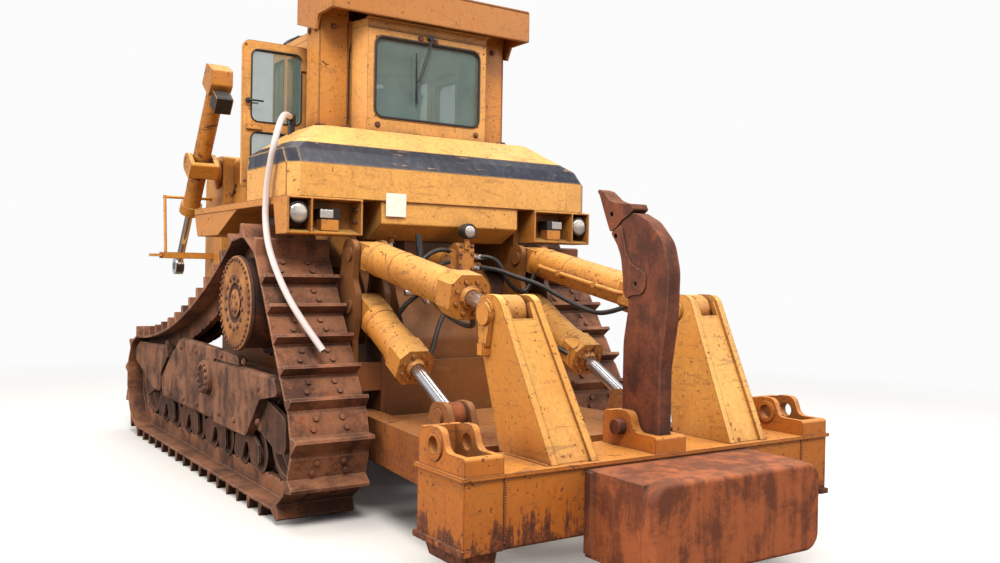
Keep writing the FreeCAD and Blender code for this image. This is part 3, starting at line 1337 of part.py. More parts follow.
def make_ripper_mounts():
    """Ear plates behind the main case for the tilt heads, lift heads and lower link."""
    corners = [
        (tilt_head[0] - 95.0, tilt_head[1] + 115.0, 90), (tilt_head[0] + 115.0, tilt_head[1] + 115.0, 90),
        (mount_front, tilt_head[1] - 297.0, 60), (mount_front + 25.0, lift_head[1] - 390.0, 60),
        (mount_front + 40.0, link_pivot[1] - 110.0, 90), (link_pivot[0] - 130.0, link_pivot[1] - 145.0, 110),
        (mount_rear, link_pivot[1] + 240.0, 60), (mount_rear, lift_head[1] - 260.0, 60),
        (lift_head[0] - 110.0, lift_head[1] - 95.0, 80), (lift_head[0] - 105.0, lift_head[1] + 105.0, 80),
        (mount_rear + 10.0, (lift_head[1] + tilt_head[1]) / 2.0, 60),
    ]
    shapes = []
    for side in (-cylinder_side, cylinder_side):
        ears = ear_pair(side, head_width, ear, corners)
        for centre in (tilt_head, lift_head, link_pivot):
            ears.append(shaft(mount_pin_radius, (side - head_width / 2.0 - running - ear - 18.0,
                                                 side + head_width / 2.0 + running + ear + 18.0), centre))
        shapes.extend(ears)
    inner_side = cylinder_side - head_width / 2.0 - running - ear + 1.0
    cross = block((-cylinder_side - head_width / 2.0 - running - 1.0,
                   cylinder_side + head_width / 2.0 + running + 1.0),
                  (mount_rear + 2.0, case_rear - snug), mount_cross)
    low_cross = block((-inner_side, inner_side), (mount_rear + 2.0, case_rear - snug),
                      (link_pivot[1] + 60.0, mount_cross[0] + 70.0))
    shapes.extend([cross, low_cross])
    for side in (-1.0, 1.0):
        ends = (side * (case_half + snug), side * inner_side)
        shapes.append(block(ends, (case_rear - snug - 1.0, mount_front),
                            (link_pivot[1] + 80.0, mount_web_top)))
    add("ripper_mounts", joined(*shapes))
    seat = case_step - snug
    body = prism("X", [
        (valve_rear, valve_low, 20), (valve_rear, valve_top - 45.0, 40), (valve_rear + 80.0, valve_top, 30),
        (valve_rear + 170.0, valve_top - 45.0, 20),
        (seat, case_top - 60.0), (seat, valve_low, 20),
    ], valve_side - valve_half, valve_side + valve_half)
    dome_x = valve_side - valve_half - valve_dome * 0.6
    dome_start = Vector(dome_x, valve_rear + 30.0, valve_top - 150.0)
    dome = Part.makeCylinder(valve_dome, seat - dome_start.y, dome_start, Vector(0, 1, 0))
    ports = []
    for z in (valve_top - 120.0, valve_top - 210.0):
        ports.append(shaft(26.0, (valve_side - valve_half - 1.0, valve_side + valve_half + 46.0),
                           (valve_rear + 50.0, z)))
    lamp_rear = tank_rear - lamp_clear - lamp_length
    stalk_y = lamp_rear + lamp_length / 2.0
    stalk = bar(24.0, (valve_side, stalk_y, valve_top - 60.0), (valve_side, stalk_y, lamp_post_height))
    lamp = bar(62.0, (valve_side, lamp_rear, lamp_post_height + 20.0),
               (valve_side, lamp_rear + lamp_length, lamp_post_height + 20.0))
    add("ripper_valve", joined(body, dome, *ports, stalk, lamp))


def make_link():
    """Lower link of the ripper, a welded box open below, and its lugs for the lift rods."""
    low = link_pivot[1] - link_below
    top = link_pivot[1] + link_above
    front = link_pivot[0] - link_front_gap
    rear = link_pin[0] + link_rear_gap
    arm_half = head_width / 2.0
    front_outer = cylinder_side + arm_half
    body = prism("Z", [
        (-front_outer, front), (front_outer, front), (link_half_rear, rear), (-link_half_rear, rear),
    ], low, top)
    pocket = prism("Z", [
        (-front_outer + plate, front - plate), (front_outer - plate, front - plate),
        (link_half_rear - plate, rear + plate), (-link_half_rear + plate, rear + plate),
    ], low - 1.0, top - plate)
    body = body.cut(pocket)
    shapes = [body]
    for side in (-1.0, 1.0):
        x = side * cylinder_side
        shapes.append(prism("X", [
            (front - 10.0, low), (link_pivot[0] - 20.0, low, 90),
            (link_pivot[0] + 120.0, link_pivot[1] - 60.0, 90),
            (link_pivot[0] + 120.0, link_pivot[1] + 125.0, 110),
            (link_pivot[0] - 130.0, link_pivot[1] + 125.0, 80),
            (front - 10.0, top),
        ], x - arm_half, x + arm_half))
        rear_x = side * (link_half_rear - head_width / 2.0)
        shapes.append(prism("X", [
            (rear + 10.0, low), (rear + 10.0, top), (link_pin[0] - 20.0, link_pin[1] + 120.0, 100),
            (link_pin[0] - 120.0, link_pin[1], 0), (link_pin[0] - 20.0, link_pin[1] - 120.0, 100),
        ], rear_x - arm_half, rear_x + arm_half))
        for lug in ear_pair(x, lift_eye_width, ear, [
            (lift_eye[0] - 190.0, top - 1.0), (lift_eye[0] - 95.0, lift_eye[1] + 100.0, 90),
            (lift_eye[0] + 95.0, lift_eye[1] + 100.0, 90), (lift_eye[0] + 190.0, top - 1.0),
        ]):
            shapes.append(lug)
        shapes.extend(pin_caps(x, lift_eye_width, ear, lift_eye, 62.0))
    link = joined(*shapes)
    for side in (-1.0, 1.0):
        x = side * cylinder_side
        rear_x = side * (link_half_rear - head_width / 2.0)
        link = link.cut(shaft(mount_pin_radius + pin_clearance, (x - head_width, x + head_width), link_pivot))
        link = link.cut(shaft(mount_pin_radius + pin_clearance, (rear_x - head_width, rear_x + head_width),
                              link_pin))
    add("ripper_link", link)


def make_cylinders():
    """Hydraulic cylinders of the ripper: upper tilt pair and lower lift pair."""
    # name, head pin, rod eye, barrel (start, end, radius), gland half width, rod (radius, room),
    # eye (radius, width)
    table = [
        ("tilt", tilt_head, tower_pin, (tilt_barrel_start, tilt_barrel_end, tilt_barrel_radius),
         tilt_gland_half, (tilt_rod_radius, tilt_rod_room), (tilt_eye_radius, tilt_eye_width)),
        ("lift", lift_head, lift_eye, (lift_barrel_start, lift_barrel_end, lift_barrel_radius),
         lift_gland_half, (lift_rod_radius, lift_rod_room), (lift_eye_radius, lift_eye_width)),
    ]
    side = cylinder_side
    for name, head, eye, barrel, gland_half, rod, eye_size in table:
        start, end, radius = barrel
        rod_radius, room = rod
        eye_radius, eye_width = eye_size
        lug = prism("X", local_corners(head, eye, [
            (-100.0, -100.0, 95), (start + 40.0, -100.0), (start + 40.0, 100.0), (-100.0, 100.0, 95),
        ]), side - head_width / 2.0, side + head_width / 2.0)
        tube = cylinder_tube(side, head, eye, start, end, radius)
        gland = eight_sided(side, head, eye, end - gland_length, end, gland_half)
        port = cylinder_tube(side, head, eye, end - gland_length - 60.0, end - gland_length, radius + 12.0)
        bore = cylinder_tube(side, head, eye, start + cylinder_wall, end + 10.0, rod_radius + snug)
        barrel = joined(lug, tube, gland, port).cut(bore)
        barrel = barrel.cut(shaft(mount_pin_radius + pin_clearance, (side - head_width, side + head_width),
                                  head))
        add_both(name + "_barrels", barrel)
        rod = cylinder_tube(side, head, eye, start + cylinder_wall + room, math.dist(head, eye), rod_radius)
        ring = shaft(eye_radius, (side - eye_width / 2.0, side + eye_width / 2.0), eye)
        add_both(name + "_rods", joined(rod, ring))


def eight_sided(side, head, eye, low, high, half):
    """Square bar with bevelled edges on a cylinder's line, between two distances."""
    bevel = half * gland_bevel
    outline = [
        (-half, -bevel), (-bevel, -half), (bevel, -half), (half, -bevel), (half, bevel), (bevel, half),
        (-bevel, half), (-half, bevel),
    ]
    ahead, square = rotated_frame(head, eye)
    start = along(head, eye, low)
    points = []
    for across, away in outline:
        points.append(Vector(side + across, start[0] + square[0] * away, start[1] + square[1] * away))
    sweep = Vector(0, ahead[0], ahead[1]) * (high - low)
    return Part.Face(Part.makePolygon(points + points[:1])).extrude(sweep)


def pocket_collar(x):
    """Raised collar of a shank pocket: end walls and two cheeks with pin bosses."""
    half = pocket_half
    front = pocket_slot_front
    rear = pocket_slot_rear
    cheek = [
        (front + 60.0, beam_top - 1.0), (front + 60.0, pocket_top, 15), (front - 10.0, pocket_top, 30),
        (pocket_bore[0] + 50.0, pocket_bore[1] + 100.0, 60),
        (pocket_bore[0] - 60.0, pocket_bore[1] + 100.0, 60),
        (pocket_bore[0] - 110.0, pocket_rim, 60), (rear - 45.0, pocket_rim, 20),
        (rear - 45.0, beam_top - 1.0),
    ]
    solid = prism("X", cheek, x - half, x + half)
    slot = block((x - pocket_slot_half, x + pocket_slot_half), (front, rear),
                 (beam_bottom - 400.0, pocket_top + 100.0))
    bore = shaft(pocket_bore_radius, (x - half - 10.0, x + half + 10.0), pocket_bore)
    return solid, slot, bore


def make_beam():
    profile = [
        (beam_rear, beam_bottom, 20), (beam_rear, beam_top - beam_lip),
        (beam_rear - 14.0, beam_top - beam_lip),
        (beam_rear - 14.0, beam_top), (beam_front + 14.0, beam_top), (beam_front + 14.0, beam_top - beam_lip),
        (beam_front, beam_top - beam_lip), (beam_front, beam_bottom, 20),
    ]
    inner_end = pocket_side - pocket_half
    collar, slot, bore = pocket_collar(0.0)
    lugs = []
    pins = []
    holes = []
    rear_x = link_half_rear - head_width / 2.0
    for side in (-1.0, 1.0):
        gap = head_width / 2.0 + running
        lug = [
            (beam_front - 10.0, link_pin[1] - 190.0), (link_pin[0] + 20.0, link_pin[1] - 120.0, 95),
            (link_pin[0] + 120.0, link_pin[1] + 10.0, 90), (link_pin[0] + 20.0, link_pin[1] + 125.0, 95),
            (beam_front - 10.0, beam_top - 30.0),
        ]
        lugs.extend(ear_pair(side * rear_x, head_width, ear, lug))
        ends = (side * rear_x - gap - ear - 20.0, side * rear_x + gap + ear + 20.0)
        pins.append(shaft(mount_pin_radius, ends, link_pin))
        holes.append(shaft(mount_pin_radius + pin_clearance, ends, link_pin))
    add("link_pins", group(*pins))
    body = joined(prism("X", profile, -inner_end, inner_end), collar, *lugs)
    add("ripper_beam", body.cut([slot, bore, *holes]))
    pockets = []
    for side in (-1.0, 1.0):
        collar, slot, bore = pocket_collar(side * pocket_side)
        low_end = side * (inner_end + snug)
        high_end = side * beam_half
        ends = (min(low_end, high_end), max(low_end, high_end))
        lower = prism("X", [
            (beam_rear, beam_bottom), (beam_rear, beam_top - beam_lip),
            (beam_rear - 14.0, beam_top - beam_lip),
            (beam_rear - 14.0, beam_top), (beam_front + 14.0, beam_top),
            (beam_front + 14.0, beam_top - beam_lip),
            (beam_front, beam_top - beam_lip), (beam_front, beam_bottom),
        ], *ends)
        leg = prism("X", [
            (beam_rear + 20.0, beam_bottom + 1.0), (beam_rear + 40.0, pocket_leg_bottom, 20),
            (beam_front - 90.0, pocket_leg_bottom, 20), (beam_front - 20.0, beam_bottom + 1.0),
        ], side * (high_end * side - 225.0), side * (high_end * side - 32.0)) if side > 0 else None
        if leg is None:
            leg = mirrored(prism("X", [
                (beam_rear + 20.0, beam_bottom + 1.0), (beam_rear + 40.0, pocket_leg_bottom, 20),
                (beam_front - 90.0, pocket_leg_bottom, 20), (beam_front - 20.0, beam_bottom + 1.0),
            ], beam_half - 225.0, beam_half - 32.0))
        tip = side * (beam_half + pocket_band_out)
        band = block((side * (beam_half - 60.0), tip), (beam_rear - 14.0, beam_front + 14.0),
                     (beam_bottom, beam_bottom + pocket_band))
        lip = block((side * (beam_half - 60.0), tip), (beam_rear - 14.0, beam_front + 14.0),
                    (beam_top - beam_lip, beam_top))
        boss_ends = (side * pocket_side - pocket_half - pocket_boss,
                     side * pocket_side + pocket_half + pocket_boss)
        boss = shaft(pocket_boss_radius, boss_ends, pocket_bore)
        trimmed = joined(collar, boss).common(block((side * (inner_end + snug), tip),
                                                    (beam_rear - 60.0, beam_front + 60.0),
                                                    (beam_top - 2.0, pocket_top + 60.0)))
        inside = block((side * pocket_side - pocket_inner_half, side * pocket_side + pocket_inner_half),
                       (pocket_slot_rear, pocket_slot_front), (beam_top + 30.0, pocket_top + 100.0))
        reach_bore = shaft(pocket_bore_radius, boss_ends, pocket_bore)
        pockets.append(joined(lower, leg, band, lip, trimmed).cut([slot, bore, inside, reach_bore]))
    add("shank_pockets", group(*pockets))
    make_towers()
    make_push_block()
    make_shank()


def leaning_plate(cheek, inner_face, lean):
    """Side plate of a tower with its inner face at the pin, leaning inwards on its way down."""
    side_plate = prism("X", cheek, inner_face, inner_face + tower_wall)
    side_plate.rotate(Vector(inner_face, 0, tower_pin[1]), Vector(0, 1, 0), math.degrees(math.atan(lean)))
    return side_plate


def sloping_frame(top, base, toward):
    """Start, direction down and normal of the line from top to base (y, z).

    The normal points forward for a toward of 1 and rearward for -1.
    """
    start = Vector(0, *top)
    run = (Vector(0, *base) - start).normalize()
    normal = Vector(0, -run.z, run.y)
    if normal.y * toward < 0.0:
        normal = normal * -1.0
    return start, run, normal


def sloping_plate(top, base, toward):
    """Plate between a tower's side plates, behind the line from top to base (y, z)."""
    start, run, normal = sloping_frame(top, base, toward)
    corners = []
    for distance, order in ((0.0, 1), ((Vector(0, *base) - start).Length + 40.0, -1)):
        point = start + run * distance
        rise = point.z - tower_pin[1]
        sides = [
            Vector(tower_inner_face - tower_wall / 2.0 + rise * tower_lean, point.y, point.z),
            Vector(tower_outer_face + tower_wall / 2.0 + rise * tower_lean_outer, point.y, point.z),
        ]
        corners.extend(sides[::order])
    corners = [corner + normal * tower_recess for corner in corners]
    return Part.Face(Part.makePolygon(corners + corners[:1])).extrude(normal * tower_flange)


def sloping_notch(top, base, toward):
    """Room for the tilt rod's eye at the top of a tower's rear plate."""
    start, run, normal = sloping_frame(top, base, toward)
    half = tower_eye_notch / 2.0
    corners = [
        start + run * down + normal * -60.0 + Vector(cylinder_side + across, 0, 0)
        for down, across in ((-60.0, -half), (-60.0, half), (tower_notch_depth, half),
                             (tower_notch_depth, -half))
    ]
    return Part.Face(Part.makePolygon(corners + corners[:1])).extrude(normal * 260.0)


def make_towers():
    """Two towers on the beam, of leaning side plates with a recessed rear plate between them."""
    base = beam_top + snug
    pin_y, pin_z = tower_pin
    crown = pin_z + tower_head
    outer_wall = tower_outer_face + tower_wall
    inner_wall = tower_inner_face - tower_wall
    rear_top = (pin_y - 112.0, crown)
    rear_base = (beam_rear + 25.0, base)
    front_top = (pin_y + 128.0, pin_z - 40.0)
    front_base = (beam_front + 50.0, base)
    cheek = [
        (front_base[0], base - 60.0), front_base, (*front_top, 60), (pin_y + tower_head, crown, 100),
        (*rear_top, 100), rear_base, (rear_base[0], base - 60.0),
    ]
    outer = leaning_plate(cheek, tower_outer_face, tower_lean_outer)
    inner = leaning_plate(cheek, inner_wall, tower_lean)
    share = (tower_notch - 40.0) / (front_top[1] - base)
    plate_top = (front_top[0] + (front_base[0] - front_top[0]) * share,
                 front_top[1] - (front_top[1] - base) * share)
    front = sloping_plate(plate_top, front_base, -1.0)
    slope = Vector(0, rear_base[0] - rear_top[0], rear_base[1] - rear_top[1]).normalize() * tower_plate_drop
    back = sloping_plate((rear_top[0] + slope.y, rear_top[1] + slope.z), rear_base, 1.0)
    back = back.cut(sloping_notch(rear_top, rear_base, 1.0))
    caps = [
        shaft(tower_cap_radius, (inner_wall - 22.0, tower_inner_face - 1.0), tower_pin),
        shaft(tower_cap_radius, (tower_outer_face + 1.0, outer_wall + tower_boss + 18.0), tower_pin),
    ]
    reach = tower_boss_radius
    boss = prism("X", [
        (pin_y - reach, pin_z + reach, reach * 0.8), (pin_y + reach, pin_z + reach, reach * 0.8),
        (pin_y + reach - 30.0, pin_z - 190.0, 20), (pin_y - 10.0, pin_z - 215.0, 20),
    ], outer_wall - 25.0, outer_wall + tower_boss)
    retainer = block((outer_wall - 30.0, outer_wall + tower_boss + 16.0), (pin_y - 5.0, pin_y + 55.0),
                     (pin_z - 255.0, pin_z - 180.0))
    below = block((0.0, beam_half), (beam_rear - 500.0, beam_front + 500.0), (base - 400.0, base))
    add_both("ripper_towers", joined(outer, inner, front, back, *caps, boss, retainer).cut(below))


def make_push_block():
    """Welded box behind the beam with a thick plate that another machine pushes on."""
    body = block((-push_half, push_half), (push_rear - 1.0, beam_rear - snug), (push_bottom, push_top))
    rear = push_rear - push_plate_thickness
    face = prism("Y", [
        (-push_plate_half, push_plate_bottom, push_plate_corner),
        (push_plate_half, push_plate_bottom, push_plate_corner),
        (push_plate_half, push_plate_top, push_plate_corner),
        (-push_plate_half, push_plate_top, push_plate_corner),
    ], rear, push_rear)
    rims = [edge for edge in face.Edges if abs(edge.BoundBox.YMax - rear) < 0.1]
    face = face.makeFillet(push_plate_edge, rims)
    rib = block((push_half - 1.0, push_half + 12.0), (beam_rear - snug - 60.0, beam_rear - snug),
                (push_bottom + 20.0, push_top - 10.0))
    add("push_block", joined(body, face, rib, mirrored(rib)))


def shank_outline(grow):
    """Side outline (y, z, radius) of the shank, its nose grown forward and up by a gap."""
    nose = [(shank_front + y + grow, shank_tip + z, radius) for y, z, radius in shank_nose]
    crown = [(shank_front + y + grow, shank_tip + z + grow, radius) for y, z, radius in shank_crown]
    heel = [(shank_rear + y, shank_tip + z, radius) for y, z, radius in shank_heel]
    return [
        (shank_front, shank_bottom), (shank_front, shank_tip - 790.0, 500), *nose, *crown, *heel,
        (shank_rear, shank_tip - 940.0, 300), (shank_rear, shank_bottom),
    ]


def tip_part(outline, half):
    """Plate of the shank's tip; its outline is given from the shank's front edge and nose."""
    corners = [(shank_front + y, shank_tip + z, radius) for y, z, radius in outline]
    return prism("X", corners, -half, half)


def make_shank():
    half = shank_thickness / 2.0
    pin_hole = shaft(shank_pin_radius + pin_clearance, (-half - 5.0, half + 5.0), pocket_bore)
    add("ripper_shank", prism("X", shank_outline(0.0), -half, half).cut(pin_hole))
    add("shank_pin", shaft(shank_pin_radius, (-pocket_half - 60.0, pocket_half + 30.0), pocket_bore))
    room = prism("X", shank_outline(snug), -half - snug, half + snug)
    cheek_half = half + tip_cheek
    taper_rear = shank_front - 140.0
    taper_start = shank_front + 150.0
    taper_end = shank_front + tooth_reach
    taper = prism("Z", [
        (-cheek_half, taper_rear), (-cheek_half, taper_start), (-tip_half, taper_end), (tip_half, taper_end),
        (cheek_half, taper_start), (cheek_half, taper_rear),
    ], shank_tip - 300.0, shank_tip + 300.0)
    holes = [
        shaft(tip_pin_radius, (-cheek_half - 5.0, cheek_half + 5.0), (shank_front + y, shank_tip + z))
        for y, z in tip_pins
    ]
    tooth = tip_part(tooth_outline, cheek_half).common(taper).cut([room, *holes])
    add("shank_tip", group(tooth, tip_part(protector_outline, cheek_half).cut([room, *holes])))


def hose_line():
    """Middle line of the hose: straight runs joined by tangent arcs."""
    points = [Vector(*point) for point in hose_route]
    edges = []
    here = points[0]
    for before, bend, after in zip(points, points[1:], points[2:]):
        into = (bend - before).normalize()
        away = (after - bend).normalize()
        half_turn = into.getAngle(away) / 2.0
        reach = 0.45 * min((bend - before).Length, (after - bend).Length)
        radius = reach / math.tan(half_turn)
        start = bend - into * reach
        end = bend + away * reach
        across = (away - into).normalize()
        middle = bend + across * (radius / math.cos(half_turn) - radius)
        edges.append(Part.LineSegment(here, start).toShape())
        edges.append(Part.Arc(start, middle, end).toShape())
        here = end
    edges.append(Part.LineSegment(here, points[-1]).toShape())
    return Part.Wire(edges)


def make_hose():
    """Loose hose from the tank's filler down over the track, and the elbow that holds it."""
    line = hose_line()
    start = Vector(*hose_route[0])
    way = Vector(*hose_route[1]) - start
    circle = Part.Wire(Part.makeCircle(hose_radius, start, way))
    add("hose", line.makePipeShell([circle], True, False))
    way.normalize()
    foot_x, foot_y = start.x - way.x * 20.0, start.y - way.y * 20.0
    stub = bar(hose_stub_radius, (foot_x, foot_y, tank_top - 60.0), (foot_x, foot_y, start.z - 40.0))
    cap = bar(hose_stub_radius + 8.0, (foot_x, foot_y, start.z - 60.0), (foot_x, foot_y, start.z + 22.0))
    socket_start = start - way * 45.0
    socket = bar(hose_radius + 9.0, tuple(socket_start), tuple(start - way * snug))
    ring = bar(hose_radius + 9.0, tuple(start - way * 1.0), tuple(start + way * 55.0))
    bore = bar(hose_radius + snug, tuple(start - way * snug), tuple(start + way * 60.0))
    fitting = joined(stub, cap, socket, ring).cut(bore)
    add("hose_fitting", fitting.cut(nodes["fuel_tank"]))


make_tracks()
make_idlers()
make_rollers()
make_final_drives()
make_roller_frames()
make_case()
make_engine()
make_tank()
make_fenders()
make_cab()
make_canopy()
make_inside()
make_stacks()
make_blade_cylinders()
make_ripper_mounts()
make_link()
make_cylinders()
make_beam()
make_hose()

front_reach = nodes["track_left"].BoundBox.YMax
rear_reach = nodes["push_block"].BoundBox.YMin
centre_y = (front_reach + rear_reach) / 2.0

os.makedirs("parts", exist_ok=True)
for name, shape in nodes.items():
    shape.translate(Vector(0, -centre_y, 0))
    shape.exportStep(os.path.join("parts", name + ".step"))
print(shoe_count, "shoes a side,", round(shoe_step, 1), "mm apart")
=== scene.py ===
"""Looks of a parked bulldozer with a ripper: weathered enamel, rusty track, hoses and fittings."""
import logging
import math
import random
from dataclasses import dataclass, field
from enum import Enum
from typing import Any, Iterable, Sequence

import bpy
from mathutils import Matrix, Vector


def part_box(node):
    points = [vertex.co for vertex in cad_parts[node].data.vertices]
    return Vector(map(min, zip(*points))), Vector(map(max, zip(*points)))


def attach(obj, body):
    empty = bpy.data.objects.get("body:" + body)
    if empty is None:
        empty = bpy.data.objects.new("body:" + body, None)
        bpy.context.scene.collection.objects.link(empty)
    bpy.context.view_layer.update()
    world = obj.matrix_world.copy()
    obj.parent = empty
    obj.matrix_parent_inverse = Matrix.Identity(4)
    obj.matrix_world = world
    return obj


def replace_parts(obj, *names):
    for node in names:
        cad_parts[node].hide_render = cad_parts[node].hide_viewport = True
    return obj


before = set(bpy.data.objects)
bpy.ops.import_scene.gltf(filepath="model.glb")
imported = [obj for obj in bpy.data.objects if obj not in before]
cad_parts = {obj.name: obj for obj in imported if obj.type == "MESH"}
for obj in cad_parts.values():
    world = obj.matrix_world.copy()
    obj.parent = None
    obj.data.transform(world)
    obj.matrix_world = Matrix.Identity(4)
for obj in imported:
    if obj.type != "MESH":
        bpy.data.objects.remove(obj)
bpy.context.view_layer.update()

LOG = logging.getLogger("dozer")
Point = tuple[float, float, float]
SIDES = {-1.0: "left", 1.0: "right"}
UPWARD = (0.0, 0.0, 1.0)
REARWARD = (0.0, -1.0, 0.0)
FORWARD = (0.0, 1.0, 0.0)
ACROSS = (1.0, 0.0, 0.0)


def linear(red: int, green: int, blue: int) -> tuple[float, float, float, float]:
    """Linear colour of an 8-bit screen colour.

    Args:
        red: Red channel, 0 to 255.
        green: Green channel, 0 to 255.
        blue: Blue channel, 0 to 255.

    Returns:
        The colour as four linear values.
    """
    channels = [value / 255.0 for value in (red, green, blue)]
    lin = [c / 12.92 if c <= 0.04045 else ((c + 0.055) / 1.055) ** 2.4 for c in channels]
    return (lin[0], lin[1], lin[2], 1.0)


class Weather(Enum):
    """How far the weather has worked on an enamelled piece."""

    LIGHT = 0.5
    WORN = 0.8
    ROUGH = 1.15


class Scalar:
    """A number that varies over a surface, combined with Python's own operators."""

    def __init__(self, shader: "Shader", socket: bpy.types.NodeSocket) -> None:
        """Wrap a socket of a shader."""
        self.shader = shader
        self.socket = socket

    def maths(self, operation: str, *values: Any) -> "Scalar":
        """Result of a maths node on this number and others.

        Args:
            operation: The maths node's operation.
            values: Numbers or scalars that follow this one.

        Returns:
            The new number.
        """
        inputs = dict(enumerate(values))
        return self.shader.scalar("ShaderNodeMath", {"operation": operation}, inputs)

    def __add__(self, other: Any) -> "Scalar":
        """Sum."""
        return self.maths("ADD", self, other)

    __radd__ = __add__

    def __mul__(self, other: Any) -> "Scalar":
        """Product."""
        return self.maths("MULTIPLY", self, other)

    __rmul__ = __mul__

    def __sub__(self, other: Any) -> "Scalar":
        """Difference."""
        return self.maths("SUBTRACT", self, other)

    def __rsub__(self, other: Any) -> "Scalar":
        """Difference from a number on the left."""
        return self.maths("SUBTRACT", other, self)

    def clamped(self) -> "Scalar":
        """The number held between 0 and 1."""
        return self.maths("MINIMUM", self.maths("MAXIMUM", self, 0.0), 1.0)

    def most(self, other: Any) -> "Scalar":
        """The larger of two numbers."""
        return self.maths("MAXIMUM", self, other)

    def step(self, low: float, high: float) -> "Scalar":
        """Smooth rise from 0 at low to 1 at high."""
        settings = {"interpolation_type": "SMOOTHSTEP"}
        return self.shader.scalar("ShaderNodeMapRange", settings, {0: self, 1: low, 2: high})


class Shader:
    """A material's node tree, built by one method."""

    def __init__(self, name: str) -> None:
        """Start an empty material of that name."""
        self.material = bpy.data.materials.new(name)
        self.material.use_nodes = True
        self.tree = self.material.node_tree
        self.tree.nodes.clear()
        place = self.node("ShaderNodeTexCoord")
        self.position = place.outputs["Object"]

    def node(self, kind: str, settings: dict[str, Any] | None = None,
             inputs: dict[Any, Any] | None = None) -> bpy.types.Node:
        """Add a node.

        Args:
            kind: The node's type.
            settings: Properties to set before its sockets; "stops" fills a colour ramp.
            inputs: Values, sockets or scalars by socket name or number.

        Returns:
            The node.
        """
        made = self.tree.nodes.new(kind)
        for key, value in (settings or {}).items():
            if key == "stops":
                ramp = made.color_ramp
                while len(ramp.elements) < len(value):
                    ramp.elements.new(1.0)
                for element, (place, colour) in zip(ramp.elements, value):
                    element.position = place
                    element.color = colour
            else:
                setattr(made, key, value)
        for key, value in (inputs or {}).items():
            socket = made.inputs[key]
            if isinstance(value, Scalar):
                self.tree.links.new(value.socket, socket)
            elif isinstance(value, bpy.types.NodeSocket):
                self.tree.links.new(value, socket)
            else:
                socket.default_value = value
        return made

    def scalar(self, kind: str, settings: dict[str, Any] | None = None,
               inputs: dict[Any, Any] | None = None, output: Any = 0) -> Scalar:
        """Add a node and wrap one of its outputs as a number."""
        return Scalar(self, self.node(kind, settings, inputs).outputs[output])

    def stretched(self, scale: Point) -> bpy.types.NodeSocket:
        """Object coordinates stretched along the axes."""
        return self.node("ShaderNodeMapping", None, {"Vector": self.position, "Scale": scale}).outputs[0]

    def noise(self, scale: float, detail: float = 4.0, rough: float = 0.55,
              stretch: Point | None = None, warp: float = 0.0) -> Scalar:
        """Noise over the object's own coordinates.

        Args:
            scale: Features to the metre.
            detail: Octaves.
            rough: How strong the fine octaves are.
            stretch: Factors along the axes.
            warp: Distortion.

        Returns:
            Noise around 0.5.
        """
        place = self.stretched(stretch) if stretch else self.position
        return self.scalar("ShaderNodeTexNoise", {"noise_dimensions": "3D"},
                           {"Vector": place, "Scale": scale, "Detail": detail, "Roughness": rough,
                            "Distortion": warp})

    def cells(self, scale: float, output: str = "Distance") -> Scalar:
        """Distance to scattered points, for chips and pits."""
        return self.scalar("ShaderNodeTexVoronoi", {"feature": "F1"},
                           {"Vector": self.position, "Scale": scale}, output)

    def height(self) -> Scalar:
        """Height above the ground in metres."""
        return self.scalar("ShaderNodeSeparateXYZ", None, {0: self.position}, 2)

    def facing_up(self) -> Scalar:
        """1 on faces that look up, 0 on upright ones."""
        geometry = self.node("ShaderNodeNewGeometry")
        return self.scalar("ShaderNodeSeparateXYZ", None, {0: geometry.outputs["Normal"]}, 2)

    def edges(self, width: float) -> Scalar:
        """1 along the edges of a solid, 0 away from them."""
        rounded = self.node("ShaderNodeBevel", {"samples": 4}, {"Radius": width})
        geometry = self.node("ShaderNodeNewGeometry")
        likeness = self.scalar("ShaderNodeVectorMath", {"operation": "DOT_PRODUCT"},
                               {0: rounded.outputs[0], 1: geometry.outputs["Normal"]}, "Value")
        return (1.0 - likeness).step(0.01, 0.22)

    def crevices(self, reach: float) -> Scalar:
        """1 deep in corners, 0 in the open, from ambient occlusion: the mask of painted shade."""
        inside = self.scalar("ShaderNodeAmbientOcclusion", {"samples": 6}, {"Distance": reach}, "AO")
        return 1.0 - inside

    def mixed(self, factor: Any, first: Any, second: Any, mode: str = "MIX") -> bpy.types.NodeSocket:
        """Colour between two colours.

        Args:
            factor: 0 gives the first colour, 1 the second.
            first: Colour or socket.
            second: Colour or socket.
            mode: Blend mode.

        Returns:
            The colour's socket.
        """
        made = self.node("ShaderNodeMix", {"data_type": "RGBA", "blend_type": mode},
                         {0: factor, 6: first, 7: second})
        return made.outputs[2]

    def bump(self, height: Scalar, depth: float, strength: float = 1.0, edge: float = 0.0) -> bpy.types.NodeSocket:
        """Normal from a height, over edges rounded by a radius."""
        inputs: dict[Any, Any] = {"Height": height, "Distance": depth, "Strength": strength}
        if edge > 0.0:
            inputs["Normal"] = self.node("ShaderNodeBevel", {"samples": 4}, {"Radius": edge}).outputs[0]
        return self.node("ShaderNodeBump", None, inputs).outputs[0]

    def surface(self, inputs: dict[str, Any]) -> bpy.types.Material:
        """Finish the material with a principled surface and return it."""
        body = self.node("ShaderNodeBsdfPrincipled", None, inputs)
        self.node("ShaderNodeOutputMaterial", None, {"Surface": body.outputs[0]})
        return self.material


RUST_DARK = linear(58, 28, 16)
RUST_MID = linear(128, 62, 28)
DUST = linear(176, 144, 104)
# Near black of painted shade in the corners of rusty steel.
CREVICE_SHADE = linear(30, 20, 14)


